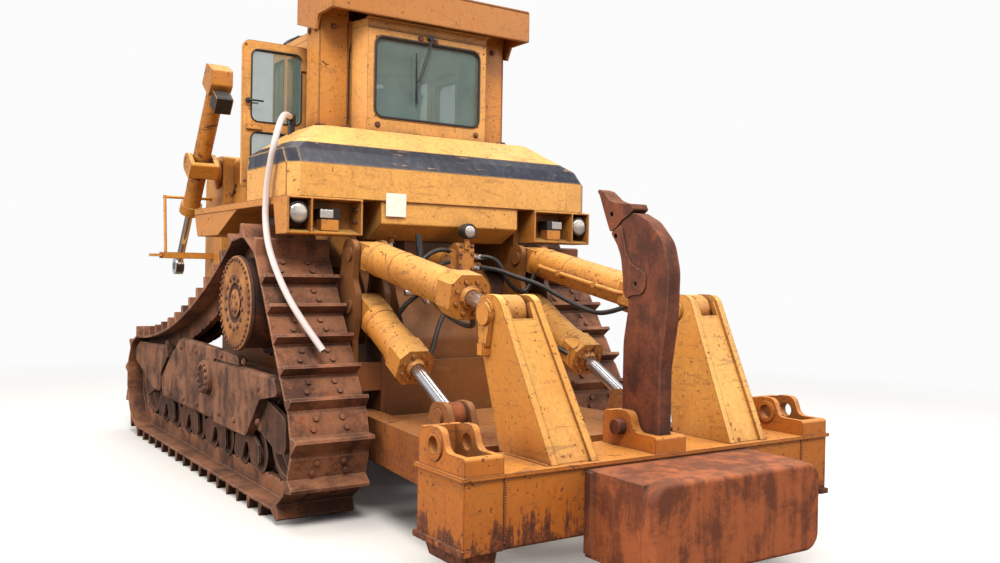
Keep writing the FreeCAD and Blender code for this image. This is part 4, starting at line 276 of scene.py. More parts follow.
@dataclass(frozen=True)
class Enamel:
    """Faded orange-yellow enamel that chips, streaks and rusts."""

    name: str
    weather: Weather = Weather.LIGHT
    colour: tuple[float, float, float, float] = linear(206, 132, 46)
    # Paler colour: faded paint in broad patches, and painted top light on upward faces.
    faded: tuple[float, float, float, float] = linear(238, 180, 84)
    low_rust: float = 0.0
    low_level: float = 0.8
    edge_width: float = 0.014
    # Strength of the darkening: painted shade in corners, mixed with patches of dirt.
    shade_and_dirt: float = 0.6

    def material(self) -> bpy.types.Material:
        """Build the enamel's material."""
        paint = Shader(self.name)
        wear = self.weather.value
        broad = paint.noise(0.9, 3.0, 0.5)
        cloudy = paint.noise(4.5, 5.0, 0.6, warp=0.4)
        fine = paint.noise(38.0, 4.0, 0.65)
        ragged = paint.noise(30.0, 5.0, 0.7)
        streaks = paint.noise(10.0, 5.0, 0.65, stretch=(1.8, 1.8, 0.14))
        scuffs = paint.noise(5.5, 7.0, 0.72, stretch=(0.5, 0.5, 2.6), warp=1.4)
        up = paint.facing_up().clamped()
        # Paler in broad patches (faded paint) and on upward faces (painted top light).
        fade_and_top_light = (broad * 0.55 + cloudy * 0.45 + up * 0.42 - 0.42).step(0.0, 0.55)
        base = paint.mixed(fade_and_top_light, self.colour, self.faded)
        mottled = (fine * 0.5 + cloudy * 0.5 - 0.42).clamped()
        base = paint.mixed(mottled * 1.9, base, linear(152, 90, 34))
        scraped = (scuffs - 0.575).step(0.0, 0.035) * (0.15 + 0.5 * wear)
        base = paint.mixed(scraped, base, linear(150, 98, 50))
        stain = (streaks * 0.6 + ragged * 0.4 - (0.575 - 0.06 * wear)).step(0.0, 0.2) * (1.0 - up)
        base = paint.mixed(stain * (0.42 + 0.3 * wear), base, linear(120, 62, 24))
        chips = paint.cells(24.0)
        spots = paint.noise(15.0, 3.0, 0.6) * 0.5 + paint.noise(60.0, 2.0, 0.5) * 0.5
        speckle = (spots - (0.635 - 0.055 * wear)).step(0.0, 0.02) * (0.46 - chips).step(0.0, 0.1)
        edge = paint.edges(self.edge_width)
        edge_chips = (edge * (0.55 + 0.4 * wear) + ragged - 0.93).step(0.0, 0.1)
        patches = (paint.noise(2.6, 7.0, 0.74, warp=0.8) - (0.735 - 0.11 * wear)).step(0.0, 0.03)
        bare = speckle.most(edge_chips).most(patches)
        if self.low_rust > 0.0:
            level = paint.height() + (cloudy - 0.5) * 0.7 + (streaks - 0.5) * 0.8
            low = (self.low_level - level).step(-0.12, 0.35) * self.low_rust
            flakes = (low * 0.62 + ragged * 0.7 - 0.74).step(0.0, 0.12)
            base = paint.mixed(low * 0.7, base, linear(160, 82, 30))
            bare = bare.most(flakes)
        # Darker in corners (painted shade from ambient occlusion) and in cloudy patches (dirt).
        corners = paint.crevices(0.3)
        crevice_shade_and_dirt = (corners * 1.5 + cloudy * 0.7 - 0.52).clamped()
        base = paint.mixed(crevice_shade_and_dirt * self.shade_and_dirt, base, linear(74, 44, 22))
        base = paint.mixed(bare * 0.92, base, paint.mixed(ragged.step(0.42, 0.66), RUST_DARK, RUST_MID))
        dust = (up * 0.5 + cloudy - 0.78).clamped() * 0.3
        base = paint.mixed(dust, base, DUST)
        rough = 0.44 + fade_and_top_light * 0.14 + bare * 0.3 + crevice_shade_and_dirt * 0.2
        relief = paint.bump(bare * -1.0 + fine * 0.12, 0.0012, 0.8, edge=0.006)
        return paint.surface({"Base Color": base, "Roughness": rough.clamped(), "Normal": relief,
                              "Coat Weight": 0.08, "Coat Roughness": 0.4})


@dataclass(frozen=True)
class RustySteel:
    """Bare steel with a skin of rust, polished a little where it rubs."""

    name: str
    dark: tuple[float, float, float, float] = linear(82, 47, 33)
    bright: tuple[float, float, float, float] = linear(143, 92, 68)
    polish: float = 0.5
    streaked: float = 0.4
    edge_width: float = 0.016

    def material(self) -> bpy.types.Material:
        """Build the rusty steel's material."""
        steel = Shader(self.name)
        cloudy = steel.noise(3.4, 6.0, 0.62, warp=0.5)
        fine = steel.noise(44.0, 5.0, 0.7)
        pits = steel.cells(70.0)
        streaks = steel.noise(8.0, 4.0, 0.6, stretch=(1.4, 1.4, 0.2))
        tone = (cloudy * 0.7 + fine * 0.3 + (streaks - 0.5) * self.streaked * 0.6).step(0.38, 0.62)
        base = steel.mixed(tone, self.dark, self.bright)
        orange = (steel.noise(6.0, 5.0, 0.7, warp=0.8) - 0.58).step(0.0, 0.12)
        base = steel.mixed(orange * 0.5, base, linear(160, 76, 30))
        up = steel.facing_up().clamped()
        # Painted shade: darker in corners, from ambient occlusion.
        corners = steel.crevices(0.25)
        base = steel.mixed((corners * 1.5 - 0.2).clamped() * 0.85, base, CREVICE_SHADE)
        dusty = (up * 0.5 + cloudy * 0.6 - 0.5).clamped()
        base = steel.mixed(dusty * 0.4, base, linear(152, 112, 82))
        edge = (steel.edges(self.edge_width) * 0.9 + fine * 0.5 - 0.5).step(0.0, 0.35) * self.polish
        base = steel.mixed(edge, base, linear(184, 142, 116))
        rough = 0.78 - edge * 0.3 + (fine - 0.5) * 0.2
        relief = steel.bump(fine * 0.6 + pits * 0.4 + cloudy * 0.8, 0.002, 0.6, edge=0.007)
        return steel.surface({"Base Color": base, "Roughness": rough.clamped(), "Normal": relief,
                              "Metallic": edge * 0.35})


@dataclass(frozen=True)
class Plated:
    """Polished plating of a hydraulic rod."""

    name: str

    def material(self) -> bpy.types.Material:
        """Build the plating's material."""
        chrome = Shader(self.name)
        smear = chrome.noise(7.0, 4.0, 0.6, stretch=(1.0, 0.4, 0.4))
        base = chrome.mixed(smear.step(0.52, 0.75) * 0.35, linear(214, 214, 216), linear(150, 132, 112))
        return chrome.surface({"Base Color": base, "Metallic": 0.95, "Roughness": smear * 0.16 + 0.1})


@dataclass(frozen=True)
class Glazing:
    """Grey-green safety glass with a film of dust; its paler tone is partly painted sky reflection."""

    name: str

    def material(self) -> bpy.types.Material:
        """Build the glass's material."""
        pane = Shader(self.name)
        film = pane.noise(5.0, 4.0, 0.6)
        # Between darker glass and a pale grey-green: partly dust film, partly painted sky reflection.
        base = pane.mixed(film * 0.6, linear(96, 122, 116), linear(150, 168, 158))
        return pane.surface({"Base Color": base, "Roughness": film * 0.08 + 0.03,
                             "Alpha": film * 0.16 + 0.36, "Coat Weight": 1.0, "Coat Roughness": 0.02})


@dataclass(frozen=True)
class Polymer:
    """Rubber, plastic or dull black paint with grain and dust."""

    name: str
    colour: tuple[float, float, float, float] = linear(30, 29, 29)
    dusty: tuple[float, float, float, float] = linear(112, 100, 88)
    dust: float = 0.35
    rough: float = 0.55
    grain: float = 260.0

    def material(self) -> bpy.types.Material:
        """Build the polymer's material."""
        skin = Shader(self.name)
        film = skin.noise(7.0, 5.0, 0.65)
        grain = skin.noise(self.grain, 3.0, 0.6)
        up = skin.facing_up().clamped()
        dusted = (film * 0.8 + up * 0.4 - 0.42).clamped() * self.dust
        base = skin.mixed(dusted * 2.0, self.colour, self.dusty)
        relief = skin.bump(grain, 0.0004, 0.5, edge=0.003)
        return skin.surface({"Base Color": base, "Roughness": (dusted * 0.5 + self.rough).clamped(),
                             "Normal": relief})


@dataclass(frozen=True)
class Woven:
    """Woven cover of the driver's seat."""

    name: str

    def material(self) -> bpy.types.Material:
        """Build the cover's material."""
        cloth = Shader(self.name)
        across = cloth.scalar("ShaderNodeTexWave", {"bands_direction": "X"},
                              {"Vector": cloth.position, "Scale": 120.0, "Distortion": 0.6}, 1)
        along = cloth.scalar("ShaderNodeTexWave", {"bands_direction": "DIAGONAL"},
                             {"Vector": cloth.position, "Scale": 90.0, "Distortion": 0.5}, 1)
        fade = cloth.noise(6.0, 4.0, 0.6)
        base = cloth.mixed(across * along * 0.8 + fade * 0.2, linear(40, 42, 44), linear(98, 96, 92))
        relief = cloth.bump(across * along, 0.0016, 0.7)
        return cloth.surface({"Base Color": base, "Roughness": 0.86, "Normal": relief, "Sheen Weight": 0.2})


@dataclass(frozen=True)
class Stripe:
    """Blue-black film on the fuel tank, scraped and streaked, with nothing printed on it."""

    name: str

    def material(self) -> bpy.types.Material:
        """Build the film's material."""
        film = Shader(self.name)
        streaks = film.noise(14.0, 5.0, 0.65, stretch=(1.6, 1.0, 0.12))
        scrapes = film.noise(5.0, 6.0, 0.75, stretch=(0.6, 1.0, 6.0), warp=0.6)
        base = film.mixed(streaks.step(0.42, 0.75) * 0.5, linear(24, 26, 40), linear(84, 84, 94))
        worn = (scrapes - 0.63).step(0.0, 0.02)
        edge = (film.edges(0.02) * 0.7 + film.noise(40.0, 4.0, 0.7) - 1.02).step(0.0, 0.1)
        lost = worn.most(edge)
        base = film.mixed(lost, base, linear(196, 150, 96))
        return film.surface({"Base Color": base, "Roughness": 0.38 + lost * 0.3})


@dataclass(frozen=True)
class Lens:
    """Ribbed lamp glass over a bright reflector."""

    name: str
    tone: tuple[float, float, float, float] = linear(208, 200, 190)

    def material(self) -> bpy.types.Material:
        """Build the lens's material."""
        lens = Shader(self.name)
        ribs = lens.scalar("ShaderNodeTexWave", {"bands_direction": "X"},
                           {"Vector": lens.position, "Scale": 60.0, "Distortion": 0.3}, 1)
        mist = lens.noise(22.0, 3.0, 0.5)
        base = lens.mixed(mist * 0.6, self.tone, linear(158, 146, 132))
        relief = lens.bump(ribs, 0.001, 0.6)
        return lens.surface({"Base Color": base, "Metallic": mist * 0.3 + 0.35,
                             "Roughness": mist * 0.15 + 0.08, "Coat Weight": 1.0, "Normal": relief})


@dataclass(frozen=True)
class Placard:
    """Plain pale sticker with a stained border."""

    name: str

    def material(self) -> bpy.types.Material:
        """Build the placard's material."""
        card = Shader(self.name)
        stain = card.noise(18.0, 5.0, 0.6)
        base = card.mixed(stain.step(0.5, 0.8) * 0.5, linear(246, 240, 224), linear(214, 190, 150))
        return card.surface({"Base Color": base, "Roughness": stain * 0.2 + 0.45})


class Bench:
    """Modelling tools: primitives shaped with operators and left at the origin."""

    @staticmethod
    def clear() -> None:
        """Deselect everything, in object mode."""
        if bpy.context.mode != "OBJECT":
            bpy.ops.object.mode_set(mode="OBJECT")
        bpy.ops.object.select_all(action="DESELECT")

    @staticmethod
    def active(name: str) -> bpy.types.Object:
        """Name the active object and its mesh, and apply its place."""
        piece = bpy.context.active_object
        piece.name = name
        piece.data.name = name
        bpy.ops.object.transform_apply(location=True, rotation=True, scale=True)
        return piece

    @classmethod
    def bevelled(cls, piece: bpy.types.Object, width: float, segments: int = 2, limit: float = 35.0) -> None:
        """Round a piece's sharp edges with an applied bevel."""
        cls.modified(piece, "BEVEL", {"width": width, "segments": segments, "limit_method": "ANGLE",
                                      "angle_limit": math.radians(limit)})

    @classmethod
    def modified(cls, piece: bpy.types.Object, kind: str, settings: dict[str, Any]) -> None:
        """Add a modifier to a piece and apply it.

        Args:
            piece: The mesh object.
            kind: The modifier's type.
            settings: Its properties.
        """
        cls.clear()
        piece.select_set(True)
        bpy.context.view_layer.objects.active = piece
        modifier = piece.modifiers.new(kind.title(), kind)
        for key, value in settings.items():
            setattr(modifier, key, value)
        bpy.ops.object.modifier_apply(modifier=modifier.name)

    @classmethod
    def smooth(cls, piece: bpy.types.Object, angle: float = 35.0) -> None:
        """Smooth a piece's shading up to an angle."""
        cls.clear()
        piece.select_set(True)
        bpy.context.view_layer.objects.active = piece
        bpy.ops.object.shade_smooth_by_angle(angle=math.radians(angle))

    @classmethod
    def rod(cls, name: str, radius: float, depth: float, sides: int = 24, bevel: float = 0.0,
            axis: str = "Z") -> bpy.types.Object:
        """A round or many-sided bar about the origin, with bevelled rims.

        Args:
            name: The piece's name.
            radius: Its radius.
            depth: Its length.
            sides: Number of sides.
            bevel: Width of the bevel on its rims.
            axis: Axis that it lies along.

        Returns:
            The piece.
        """
        cls.clear()
        turns = {"X": (0.0, math.pi / 2, 0.0), "Y": (math.pi / 2, 0.0, 0.0), "Z": (0.0, 0.0, 0.0)}
        bpy.ops.mesh.primitive_cylinder_add(vertices=sides, radius=radius, depth=depth, rotation=turns[axis])
        piece = cls.active(name)
        if bevel > 0.0:
            cls.bevelled(piece, bevel, 2, 60.0)
        return piece

    @classmethod
    def slab(cls, name: str, low: Sequence[float], high: Sequence[float], bevel: float = 0.004) -> bpy.types.Object:
        """A bevelled box between two corners."""
        cls.clear()
        centre = [(a + b) / 2.0 for a, b in zip(low, high)]
        size = [abs(b - a) for a, b in zip(low, high)]
        bpy.ops.mesh.primitive_cube_add(size=1.0, location=centre, scale=size)
        piece = cls.active(name)
        if bevel > 0.0:
            cls.bevelled(piece, bevel)
        return piece

    @classmethod
    def bolt(cls, name: str, across: float, height: float, washer: float = 0.0) -> bpy.types.Object:
        """A hexagon head on a washer, standing on the origin along +Z.

        Args:
            name: The piece's name.
            across: The head's width over its flats.
            height: The head's height.
            washer: Radius of the washer, or 0 for none.

        Returns:
            The piece.
        """
        cls.clear()
        bpy.ops.mesh.primitive_cylinder_add(vertices=6, radius=across / math.sqrt(3.0), depth=height,
                                            location=(0.0, 0.0, height / 2.0))
        head = bpy.context.active_object
        bpy.ops.object.mode_set(mode="EDIT")
        bpy.ops.mesh.select_all(action="SELECT")
        bpy.ops.object.mode_set(mode="OBJECT")
        for face in head.data.polygons:
            face.select = face.normal.z > 0.9
        for vertex in head.data.vertices:
            vertex.select = vertex.co.z > 0.0
        bpy.ops.object.mode_set(mode="EDIT")
        bpy.ops.mesh.bevel(offset=height * 0.12, segments=1)
        bpy.ops.object.mode_set(mode="OBJECT")
        head = cls.active(name)
        if washer > 0.0:
            bpy.ops.object.select_all(action="DESELECT")
            bpy.ops.mesh.primitive_cylinder_add(vertices=16, radius=washer, depth=height * 0.3,
                                                location=(0.0, 0.0, height * 0.15))
            ring = bpy.context.active_object
            ring.select_set(True)
            head.select_set(True)
            bpy.context.view_layer.objects.active = head
            bpy.ops.object.join()
            head = cls.active(name)
        return head

    @classmethod
    def ring(cls, name: str, major: float, minor: float, axis: str = "Z", major_sides: int = 48,
             minor_sides: int = 10) -> bpy.types.Object:
        """A torus about the origin along an axis."""
        cls.clear()
        turns = {"X": (0.0, math.pi / 2, 0.0), "Y": (math.pi / 2, 0.0, 0.0), "Z": (0.0, 0.0, 0.0)}
        bpy.ops.mesh.primitive_torus_add(major_radius=major, minor_radius=minor, major_segments=major_sides,
                                         minor_segments=minor_sides, rotation=turns[axis])
        return cls.active(name)

    @classmethod
    def pattern(cls, name: str, master: bpy.types.Object, places: Iterable[Matrix]) -> bpy.types.Object:
        """Copies of a master at many places, joined as one piece; the master goes.

        Args:
            name: The joined piece's name.
            master: The piece to copy.
            places: One matrix for each copy.

        Returns:
            The joined piece.
        """
        cls.clear()
        made = []
        for place in places:
            copy = master.copy()
            copy.data = master.data.copy()
            copy.data.transform(place)
            if place.determinant() < 0.0:
                copy.data.flip_normals()
            bpy.context.collection.objects.link(copy)
            copy.select_set(True)
            made.append(copy)
        bpy.context.view_layer.objects.active = made[0]
        if len(made) > 1:
            bpy.ops.object.join()
        piece = cls.active(name)
        bpy.data.objects.remove(master, do_unlink=True)
        return piece

    @classmethod
    def joined(cls, name: str, pieces: Sequence[bpy.types.Object]) -> bpy.types.Object:
        """Several pieces as one object."""
        cls.clear()
        for piece in pieces:
            piece.select_set(True)
        bpy.context.view_layer.objects.active = pieces[0]
        if len(pieces) > 1:
            bpy.ops.object.join()
        return cls.active(name)

    @classmethod
    def pipe(cls, name: str, points: Sequence[Point], radius: float, sides: int = 5) -> bpy.types.Object:
        """A smooth pipe or hose through control points, as a mesh.

        Args:
            name: The piece's name.
            points: Control points of a smooth line.
            radius: The pipe's radius.
            sides: Bevel resolution of its section.

        Returns:
            The piece.
        """
        cls.clear()
        curve = bpy.data.curves.new(name, "CURVE")
        curve.dimensions = "3D"
        spline = curve.splines.new("NURBS")
        spline.points.add(len(points) - 1)
        for control, point in zip(spline.points, points):
            control.co = (*point, 1.0)
        spline.order_u = 3
        spline.use_endpoint_u = True
        spline.resolution_u = 6
        curve.bevel_depth = radius
        curve.bevel_resolution = sides
        curve.use_fill_caps = True
        piece = bpy.data.objects.new(name, curve)
        bpy.context.collection.objects.link(piece)
        piece.select_set(True)
        bpy.context.view_layer.objects.active = piece
        bpy.ops.object.convert(target="MESH")
        piece = cls.active(name)
        cls.smooth(piece, 40.0)
        return piece

    @classmethod
    def sheet(cls, name: str, corners: Sequence[Point], faces: Sequence[Sequence[int]],
              thickness: float) -> bpy.types.Object:
        """A thin sheet through corners, thickened outwards along its normals."""
        cls.clear()
        mesh = bpy.data.meshes.new(name)
        mesh.from_pydata([tuple(corner) for corner in corners], [], [tuple(face) for face in faces])
        piece = bpy.data.objects.new(name, mesh)
        bpy.context.collection.objects.link(piece)
        cls.modified(piece, "SOLIDIFY", {"thickness": thickness, "offset": 1.0})
        return piece

    @classmethod
    def turned(cls, name: str, profile: Sequence[tuple[float, float]], sides: int = 32) -> bpy.types.Object:
        """A ring or disc turned about Z from a closed profile.

        Args:
            name: The piece's name.
            profile: Radius and height of each corner of the section.
            sides: Steps round the axis.

        Returns:
            The piece.
        """
        cls.clear()
        mesh = bpy.data.meshes.new(name)
        count = len(profile)
        mesh.from_pydata([(radius, 0.0, height) for radius, height in profile],
                         [(index, (index + 1) % count) for index in range(count)], [])
        piece = bpy.data.objects.new(name, mesh)
        bpy.context.collection.objects.link(piece)
        cls.modified(piece, "SCREW", {"angle": 2.0 * math.pi, "axis": "Z", "steps": sides,
                                      "render_steps": sides, "use_merge_vertices": True,
                                      "merge_threshold": 0.0001})
        bpy.ops.object.mode_set(mode="EDIT")
        bpy.ops.mesh.select_all(action="SELECT")
        bpy.ops.mesh.normals_make_consistent(inside=False)
        bpy.ops.object.mode_set(mode="OBJECT")
        cls.smooth(piece, 35.0)
        return piece

    @classmethod
    def loop(cls, name: str, points: Sequence[Point], radius: float, sides: int = 2) -> bpy.types.Object:
        """A closed bead through points, as a mesh.

        Args:
            name: The piece's name.
            points: Corners of the closed line.
            radius: The bead's radius.
            sides: Bevel resolution of its section.

        Returns:
            The piece.
        """
        cls.clear()
        curve = bpy.data.curves.new(name, "CURVE")
        curve.dimensions = "3D"
        spline = curve.splines.new("POLY")
        spline.points.add(len(points) - 1)
        for control, point in zip(spline.points, points):
            control.co = (*point, 1.0)
        spline.use_cyclic_u = True
        curve.bevel_depth = radius
        curve.bevel_resolution = sides
        piece = bpy.data.objects.new(name, curve)
        bpy.context.collection.objects.link(piece)
        piece.select_set(True)
        bpy.context.view_layer.objects.active = piece
        bpy.ops.object.convert(target="MESH")
        piece = cls.active(name)
        cls.smooth(piece, 50.0)
        return piece


def cut_copy(node: str, cuts: Sequence[tuple[Point, Point]], closed: bool) -> bpy.types.Object:
    """Copy of a CAD node that ends at planes.

    Args:
        node: The node's name.
        cuts: Point and outward normal of each plane.
        closed: Whether the cuts are filled.

    Returns:
        The copy.
    """
    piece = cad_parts[node].copy()
    piece.data = piece.data.copy()
    bpy.context.collection.objects.link(piece)
    Bench.clear()
    piece.select_set(True)
    bpy.context.view_layer.objects.active = piece
    bpy.ops.object.mode_set(mode="EDIT")
    bpy.ops.mesh.select_all(action="SELECT")
    bpy.ops.mesh.remove_doubles(threshold=0.0002)
    for point, normal in cuts:
        bpy.ops.mesh.select_all(action="SELECT")
        bpy.ops.mesh.bisect(plane_co=point, plane_no=normal, clear_outer=True, use_fill=closed)
    bpy.ops.object.mode_set(mode="OBJECT")
    return piece


def turned_to(direction: Sequence[float], at: Sequence[float], spin: float = 0.0) -> Matrix:
    """Matrix that turns +Z to a direction and moves the origin to a point.

    Args:
        direction: Where +Z goes.
        at: Where the origin goes.
        spin: Turn about the direction, in radians.

    Returns:
        The matrix.
    """
    way = Vector(direction).normalized()
    turn = way.to_track_quat("Z", "Y").to_matrix().to_4x4()
    return Matrix.Translation(Vector(at)) @ turn @ Matrix.Rotation(spin, 4, "Z")


def placed(piece: bpy.types.Object, way: Sequence[float], point: Sequence[float]) -> bpy.types.Object:
    """Turn a piece's +Z to a direction and move it to a point."""
    piece.data.transform(turned_to(way, point))
    return piece


def moved(piece: bpy.types.Object, point: Sequence[float]) -> bpy.types.Object:
    """Move a piece to a point."""
    piece.data.transform(Matrix.Translation(point))
    return piece


@dataclass
class Layout:
    """Where the machine's main lines lie in the frame, in metres."""

    idler_rim: float = 0.38000
    rear: float = field(init=False)

    def __post_init__(self) -> None:
        """Find the rear idler's centre from the frame."""
        self.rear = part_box("idlers")[0][1] + self.idler_rim

    def at(self, x: float, forward: float, up: float) -> Point:
        """Frame point of a place measured from the rear idler's centre and the ground."""
        return (x, self.rear + forward, up)


# finish: how it is built, and the record's slot that new pieces of it belong to
FINISHES: dict[str, tuple[Any, str]] = {
    "panel": (Enamel("panel_enamel", Weather.WORN), "paint"),
    "cab": (Enamel("cab_enamel", Weather.LIGHT, colour=linear(222, 156, 78),
                   faded=linear(246, 198, 118)), "paint"),
    "tank": (Enamel("tank_enamel", Weather.LIGHT, colour=linear(232, 168, 82),
                    faded=linear(242, 190, 108)), "paint"),
    # Canopy: darker than the panels, partly worn and dirty paint, partly painted shade of its shaded rear face.
    "roof": (Enamel("canopy_enamel_painted_shade", Weather.WORN, colour=linear(184, 116, 48), faded=linear(214, 154, 76),
                    shade_and_dirt=0.75), "paint"),
    "cylinder": (Enamel("cylinder_enamel", Weather.ROUGH, colour=linear(192, 122, 44),
                        faded=linear(222, 162, 78), edge_width=0.01), "paint"),
    "beam": (Enamel("beam_enamel", Weather.ROUGH, colour=linear(192, 110, 34), faded=linear(214, 138, 50),
                    low_rust=1.0, low_level=0.66), "paint"),
    "link": (Enamel("link_enamel", Weather.ROUGH, colour=linear(132, 82, 40), faded=linear(166, 112, 58),
                    low_rust=0.7, low_level=0.9, shade_and_dirt=0.8), "paint"),
    "tower": (Enamel("tower_enamel", Weather.WORN, colour=linear(204, 130, 46), faded=linear(244, 186, 88),
                     low_rust=0.7, low_level=0.95), "paint"),
    "case": (Enamel("case_enamel", Weather.LIGHT, colour=linear(112, 68, 28), faded=linear(146, 96, 44),
                    low_rust=0.35, low_level=1.1, shade_and_dirt=0.85), "paint"),
    "push": (RustySteel("push_plate_rust", dark=linear(104, 50, 24), bright=linear(164, 86, 42), polish=0.25,
                        streaked=1.0), "rust"),
    "shank": (RustySteel("shank_rust", dark=linear(72, 34, 18), bright=linear(118, 60, 34), polish=0.2,
                         streaked=0.8), "rust"),
    "shoe": (RustySteel("shoe_rust", dark=linear(80, 44, 26), bright=linear(156, 100, 66), polish=0.9,
                        streaked=0.2, edge_width=0.012), "track_steel"),
    "guard": (RustySteel("guard_rust", dark=linear(66, 40, 27), bright=linear(142, 94, 66), polish=0.5,
                         streaked=0.6), "rust"),
    "drum": (RustySteel("drum_rust", dark=linear(50, 23, 15), bright=linear(100, 52, 34), polish=0.2,
                        streaked=0.5), "rust"),
    "roller": (RustySteel("roller_rust", dark=linear(48, 28, 19), bright=linear(96, 58, 38),
                          polish=0.7), "track_steel"),
    "bolt": (RustySteel("bolt_rust", dark=linear(92, 54, 36), bright=linear(150, 96, 66), polish=0.6,
                        edge_width=0.003), "rust"),
    "black": (Polymer("black_paint", colour=linear(28, 27, 28), rough=0.45, dust=0.25), "dark_paint"),
    "rubber": (Polymer("rubber_seal", colour=linear(24, 24, 25), rough=0.6, dust=0.3), "trim"),
    "hydraulic": (Polymer("hydraulic_hose", colour=linear(20, 20, 22), rough=0.42, dust=0.3,
                          grain=420.0), "hose_rubber"),
    "pale_hose": (Polymer("pale_hose", colour=linear(212, 198, 194), dusty=linear(160, 138, 122), rough=0.5,
                          dust=0.25), "hose_rubber"),
    "cover": (RustySteel("cover_rust", dark=linear(128, 76, 36), bright=linear(184, 124, 66), polish=0.4,
                         streaked=0.3), "rust"),
    "worn_lip": (Enamel("worn_lip_enamel", Weather.WORN, colour=linear(150, 104, 62),
                        faded=linear(196, 150, 98)), "paint"),
    "seam": (Polymer("seam_shadow", colour=linear(70, 48, 30), rough=0.8, dust=0.2), "dark_paint"),
    "trim": (Polymer("cab_trim", colour=linear(46, 45, 44), rough=0.6, dust=0.2), "trim"),
    "fitting": (Plated("plated_fitting"), "rod_chrome"),
    "chrome": (Plated("rod_plating"), "rod_chrome"),
    "glass": (Glazing("cab_glazing"), "glazing"),
    "cloth": (Woven("seat_cloth"), "seat_cover"),
    "stripe": (Stripe("tank_stripe"), "dark_paint"),
    "lens": (Lens("lamp_lens"), "glazing"),
    "placard": (Placard("blank_placard"), "trim"),
}


class Palette:
    """All finishes of the machine."""

    def __init__(self) -> None:
        """Build every material once."""
        self.materials = {name: finish.material() for name, (finish, _) in FINISHES.items()}

    def dress(self, piece: bpy.types.Object, finish: str, body: str = "chassis",
              slot: str | None = None) -> bpy.types.Object:
        """Give a new piece its finish and its body, and report it.

        Args:
            piece: The new piece.
            finish: Name of its finish.
            body: The body that it rides on.
            slot: The record's slot, if it isn't the finish's own; not used.

        Returns:
            The piece.
        """
        piece.data.materials.clear()
        piece.data.materials.append(self.materials[finish])
        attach(piece, body)
        slot or FINISHES[finish][1]
        LOG.info("made %s", piece.name)
        return piece


NODES_BY_FINISH = {
    "shoe": "track_left track_right",
    "roller": "idlers track_rollers sprockets bogies idler_yokes equalizer_bar",
    "guard": "track_guards roller_frames",
    "drum": "final_drives pivot_shafts",
    "case": "main_case main_frame ripper_mounts",
    "panel": "hood radiator_guard fenders roof_posts blade_yokes front_brackets",
    "roof": "canopy",
    "cab": "cab_rear_wall cab_sides cab_front_wall cab_roof cab_floor door_left door_right",
    "tank": "fuel_tank",
    "cylinder": "tilt_barrels lift_barrels blade_barrel_left blade_barrel_right ripper_valve",
    "chrome": "tilt_rods lift_rods blade_rod_left blade_rod_right",
    "beam": "ripper_beam shank_pockets",
    "link": "ripper_link",
    "tower": "ripper_towers",
    "push": "push_block",
    "shank": "ripper_shank shank_tip shank_pin link_pins",
    "black": "grille engine_block exhaust_stack air_cleaner rear_lamps hose_fitting",
    "glass": "cab_glass door_glass_left door_glass_right",
    "cloth": "driver_seat",
    "pale_hose": "hose",
    "trim": "cab_controls",
}


class NodeDresser:
    """Gives each CAD node the finish of its real piece."""

    def __init__(self, palette: Palette) -> None:
        """Keep the palette."""
        self.palette = palette

    def apply(self) -> None:
        """Assign the finishes to the nodes' slots."""
        for finish, names in NODES_BY_FINISH.items():
            for name in names.split():
                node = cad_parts[name]
                node.data.materials.clear()
                node.data.materials.append(self.palette.materials[finish])
                LOG.info("dressed %s", name)


@dataclass
class Along:
    """Line of a hydraulic cylinder: distances from its head pin and square to it."""

    layout: Layout
    side: float
    head: tuple[float, float]
    eye: tuple[float, float]

    def ahead(self) -> Vector:
        """Direction from the head pin to the rod's eye."""
        return Vector((0.0, self.eye[0] - self.head[0], self.eye[1] - self.head[1])).normalized()

    def upward(self) -> Vector:
        """Direction square to the cylinder, away from the ground."""
        way = self.ahead()
        square = Vector((0.0, way.z, -way.y))
        return square if square.z > 0.0 else -square

    def point(self, distance: float, out: float = 0.0, turn: float = 90.0) -> Vector:
        """Point beside the cylinder.

        Args:
            distance: Distance from the head pin along the cylinder.
            out: Distance from its middle line.
            turn: Direction of out in degrees, 0 to the machine's right and 90 upwards.

        Returns:
            The point in the frame.
        """
        start = Vector(self.layout.at(self.side, *self.head))
        angle = math.radians(turn)
        away = Vector((1.0, 0.0, 0.0)) * math.cos(angle) + self.upward() * math.sin(angle)
        return start + self.ahead() * distance + away * out


class Fasteners:
    """Welds and hose ends that several sub-assemblies share."""

    @staticmethod
    def weld(name: str, start: Sequence[float], end: Sequence[float], radius: float) -> bpy.types.Object:
        """A weld bead with ripples between two points."""
        first, last = Vector(start), Vector(end)
        length = (last - first).length
        count = max(2, int(length / (radius * 1.5)))
        Bench.clear()
        bpy.ops.mesh.primitive_uv_sphere_add(segments=8, ring_count=5, radius=radius)
        bead = Bench.active(name + "_bead")
        way = (last - first).normalized()
        places = []
        for index in range(count):
            scale = Matrix.Diagonal((1.0, 1.0, 1.05, 1.0))
            spot = first + way * (length * (index + 0.5) / count)
            places.append(turned_to(way, spot) @ scale)
        return Bench.pattern(name, bead, places)

    @staticmethod
    def hose_end(name: str, point: Sequence[float], way: Sequence[float], radius: float) -> bpy.types.Object:
        """A plated hose end: crimped sleeve, hexagon nut and stub, pointing away from its port.

        Args:
            name: The piece's name.
            point: The port's face.
            way: Direction in which the hose leaves.
            radius: The hose's radius.

        Returns:
            The joined hose end.
        """
        stub = Bench.rod(name + "_stub", radius * 0.8, radius * 1.6, 16)
        nut = Bench.rod(name + "_nut", radius * 1.45, radius * 1.1, 6, radius * 0.12)
        nut.data.transform(Matrix.Translation((0.0, 0.0, radius * 1.1)))
        sleeve = Bench.rod(name + "_sleeve", radius * 1.22, radius * 3.0, 20, radius * 0.14)
        sleeve.data.transform(Matrix.Translation((0.0, 0.0, radius * 3.2)))
        piece = Bench.joined(name, [stub, nut, sleeve])
        piece.data.transform(turned_to(way, point))
        return piece


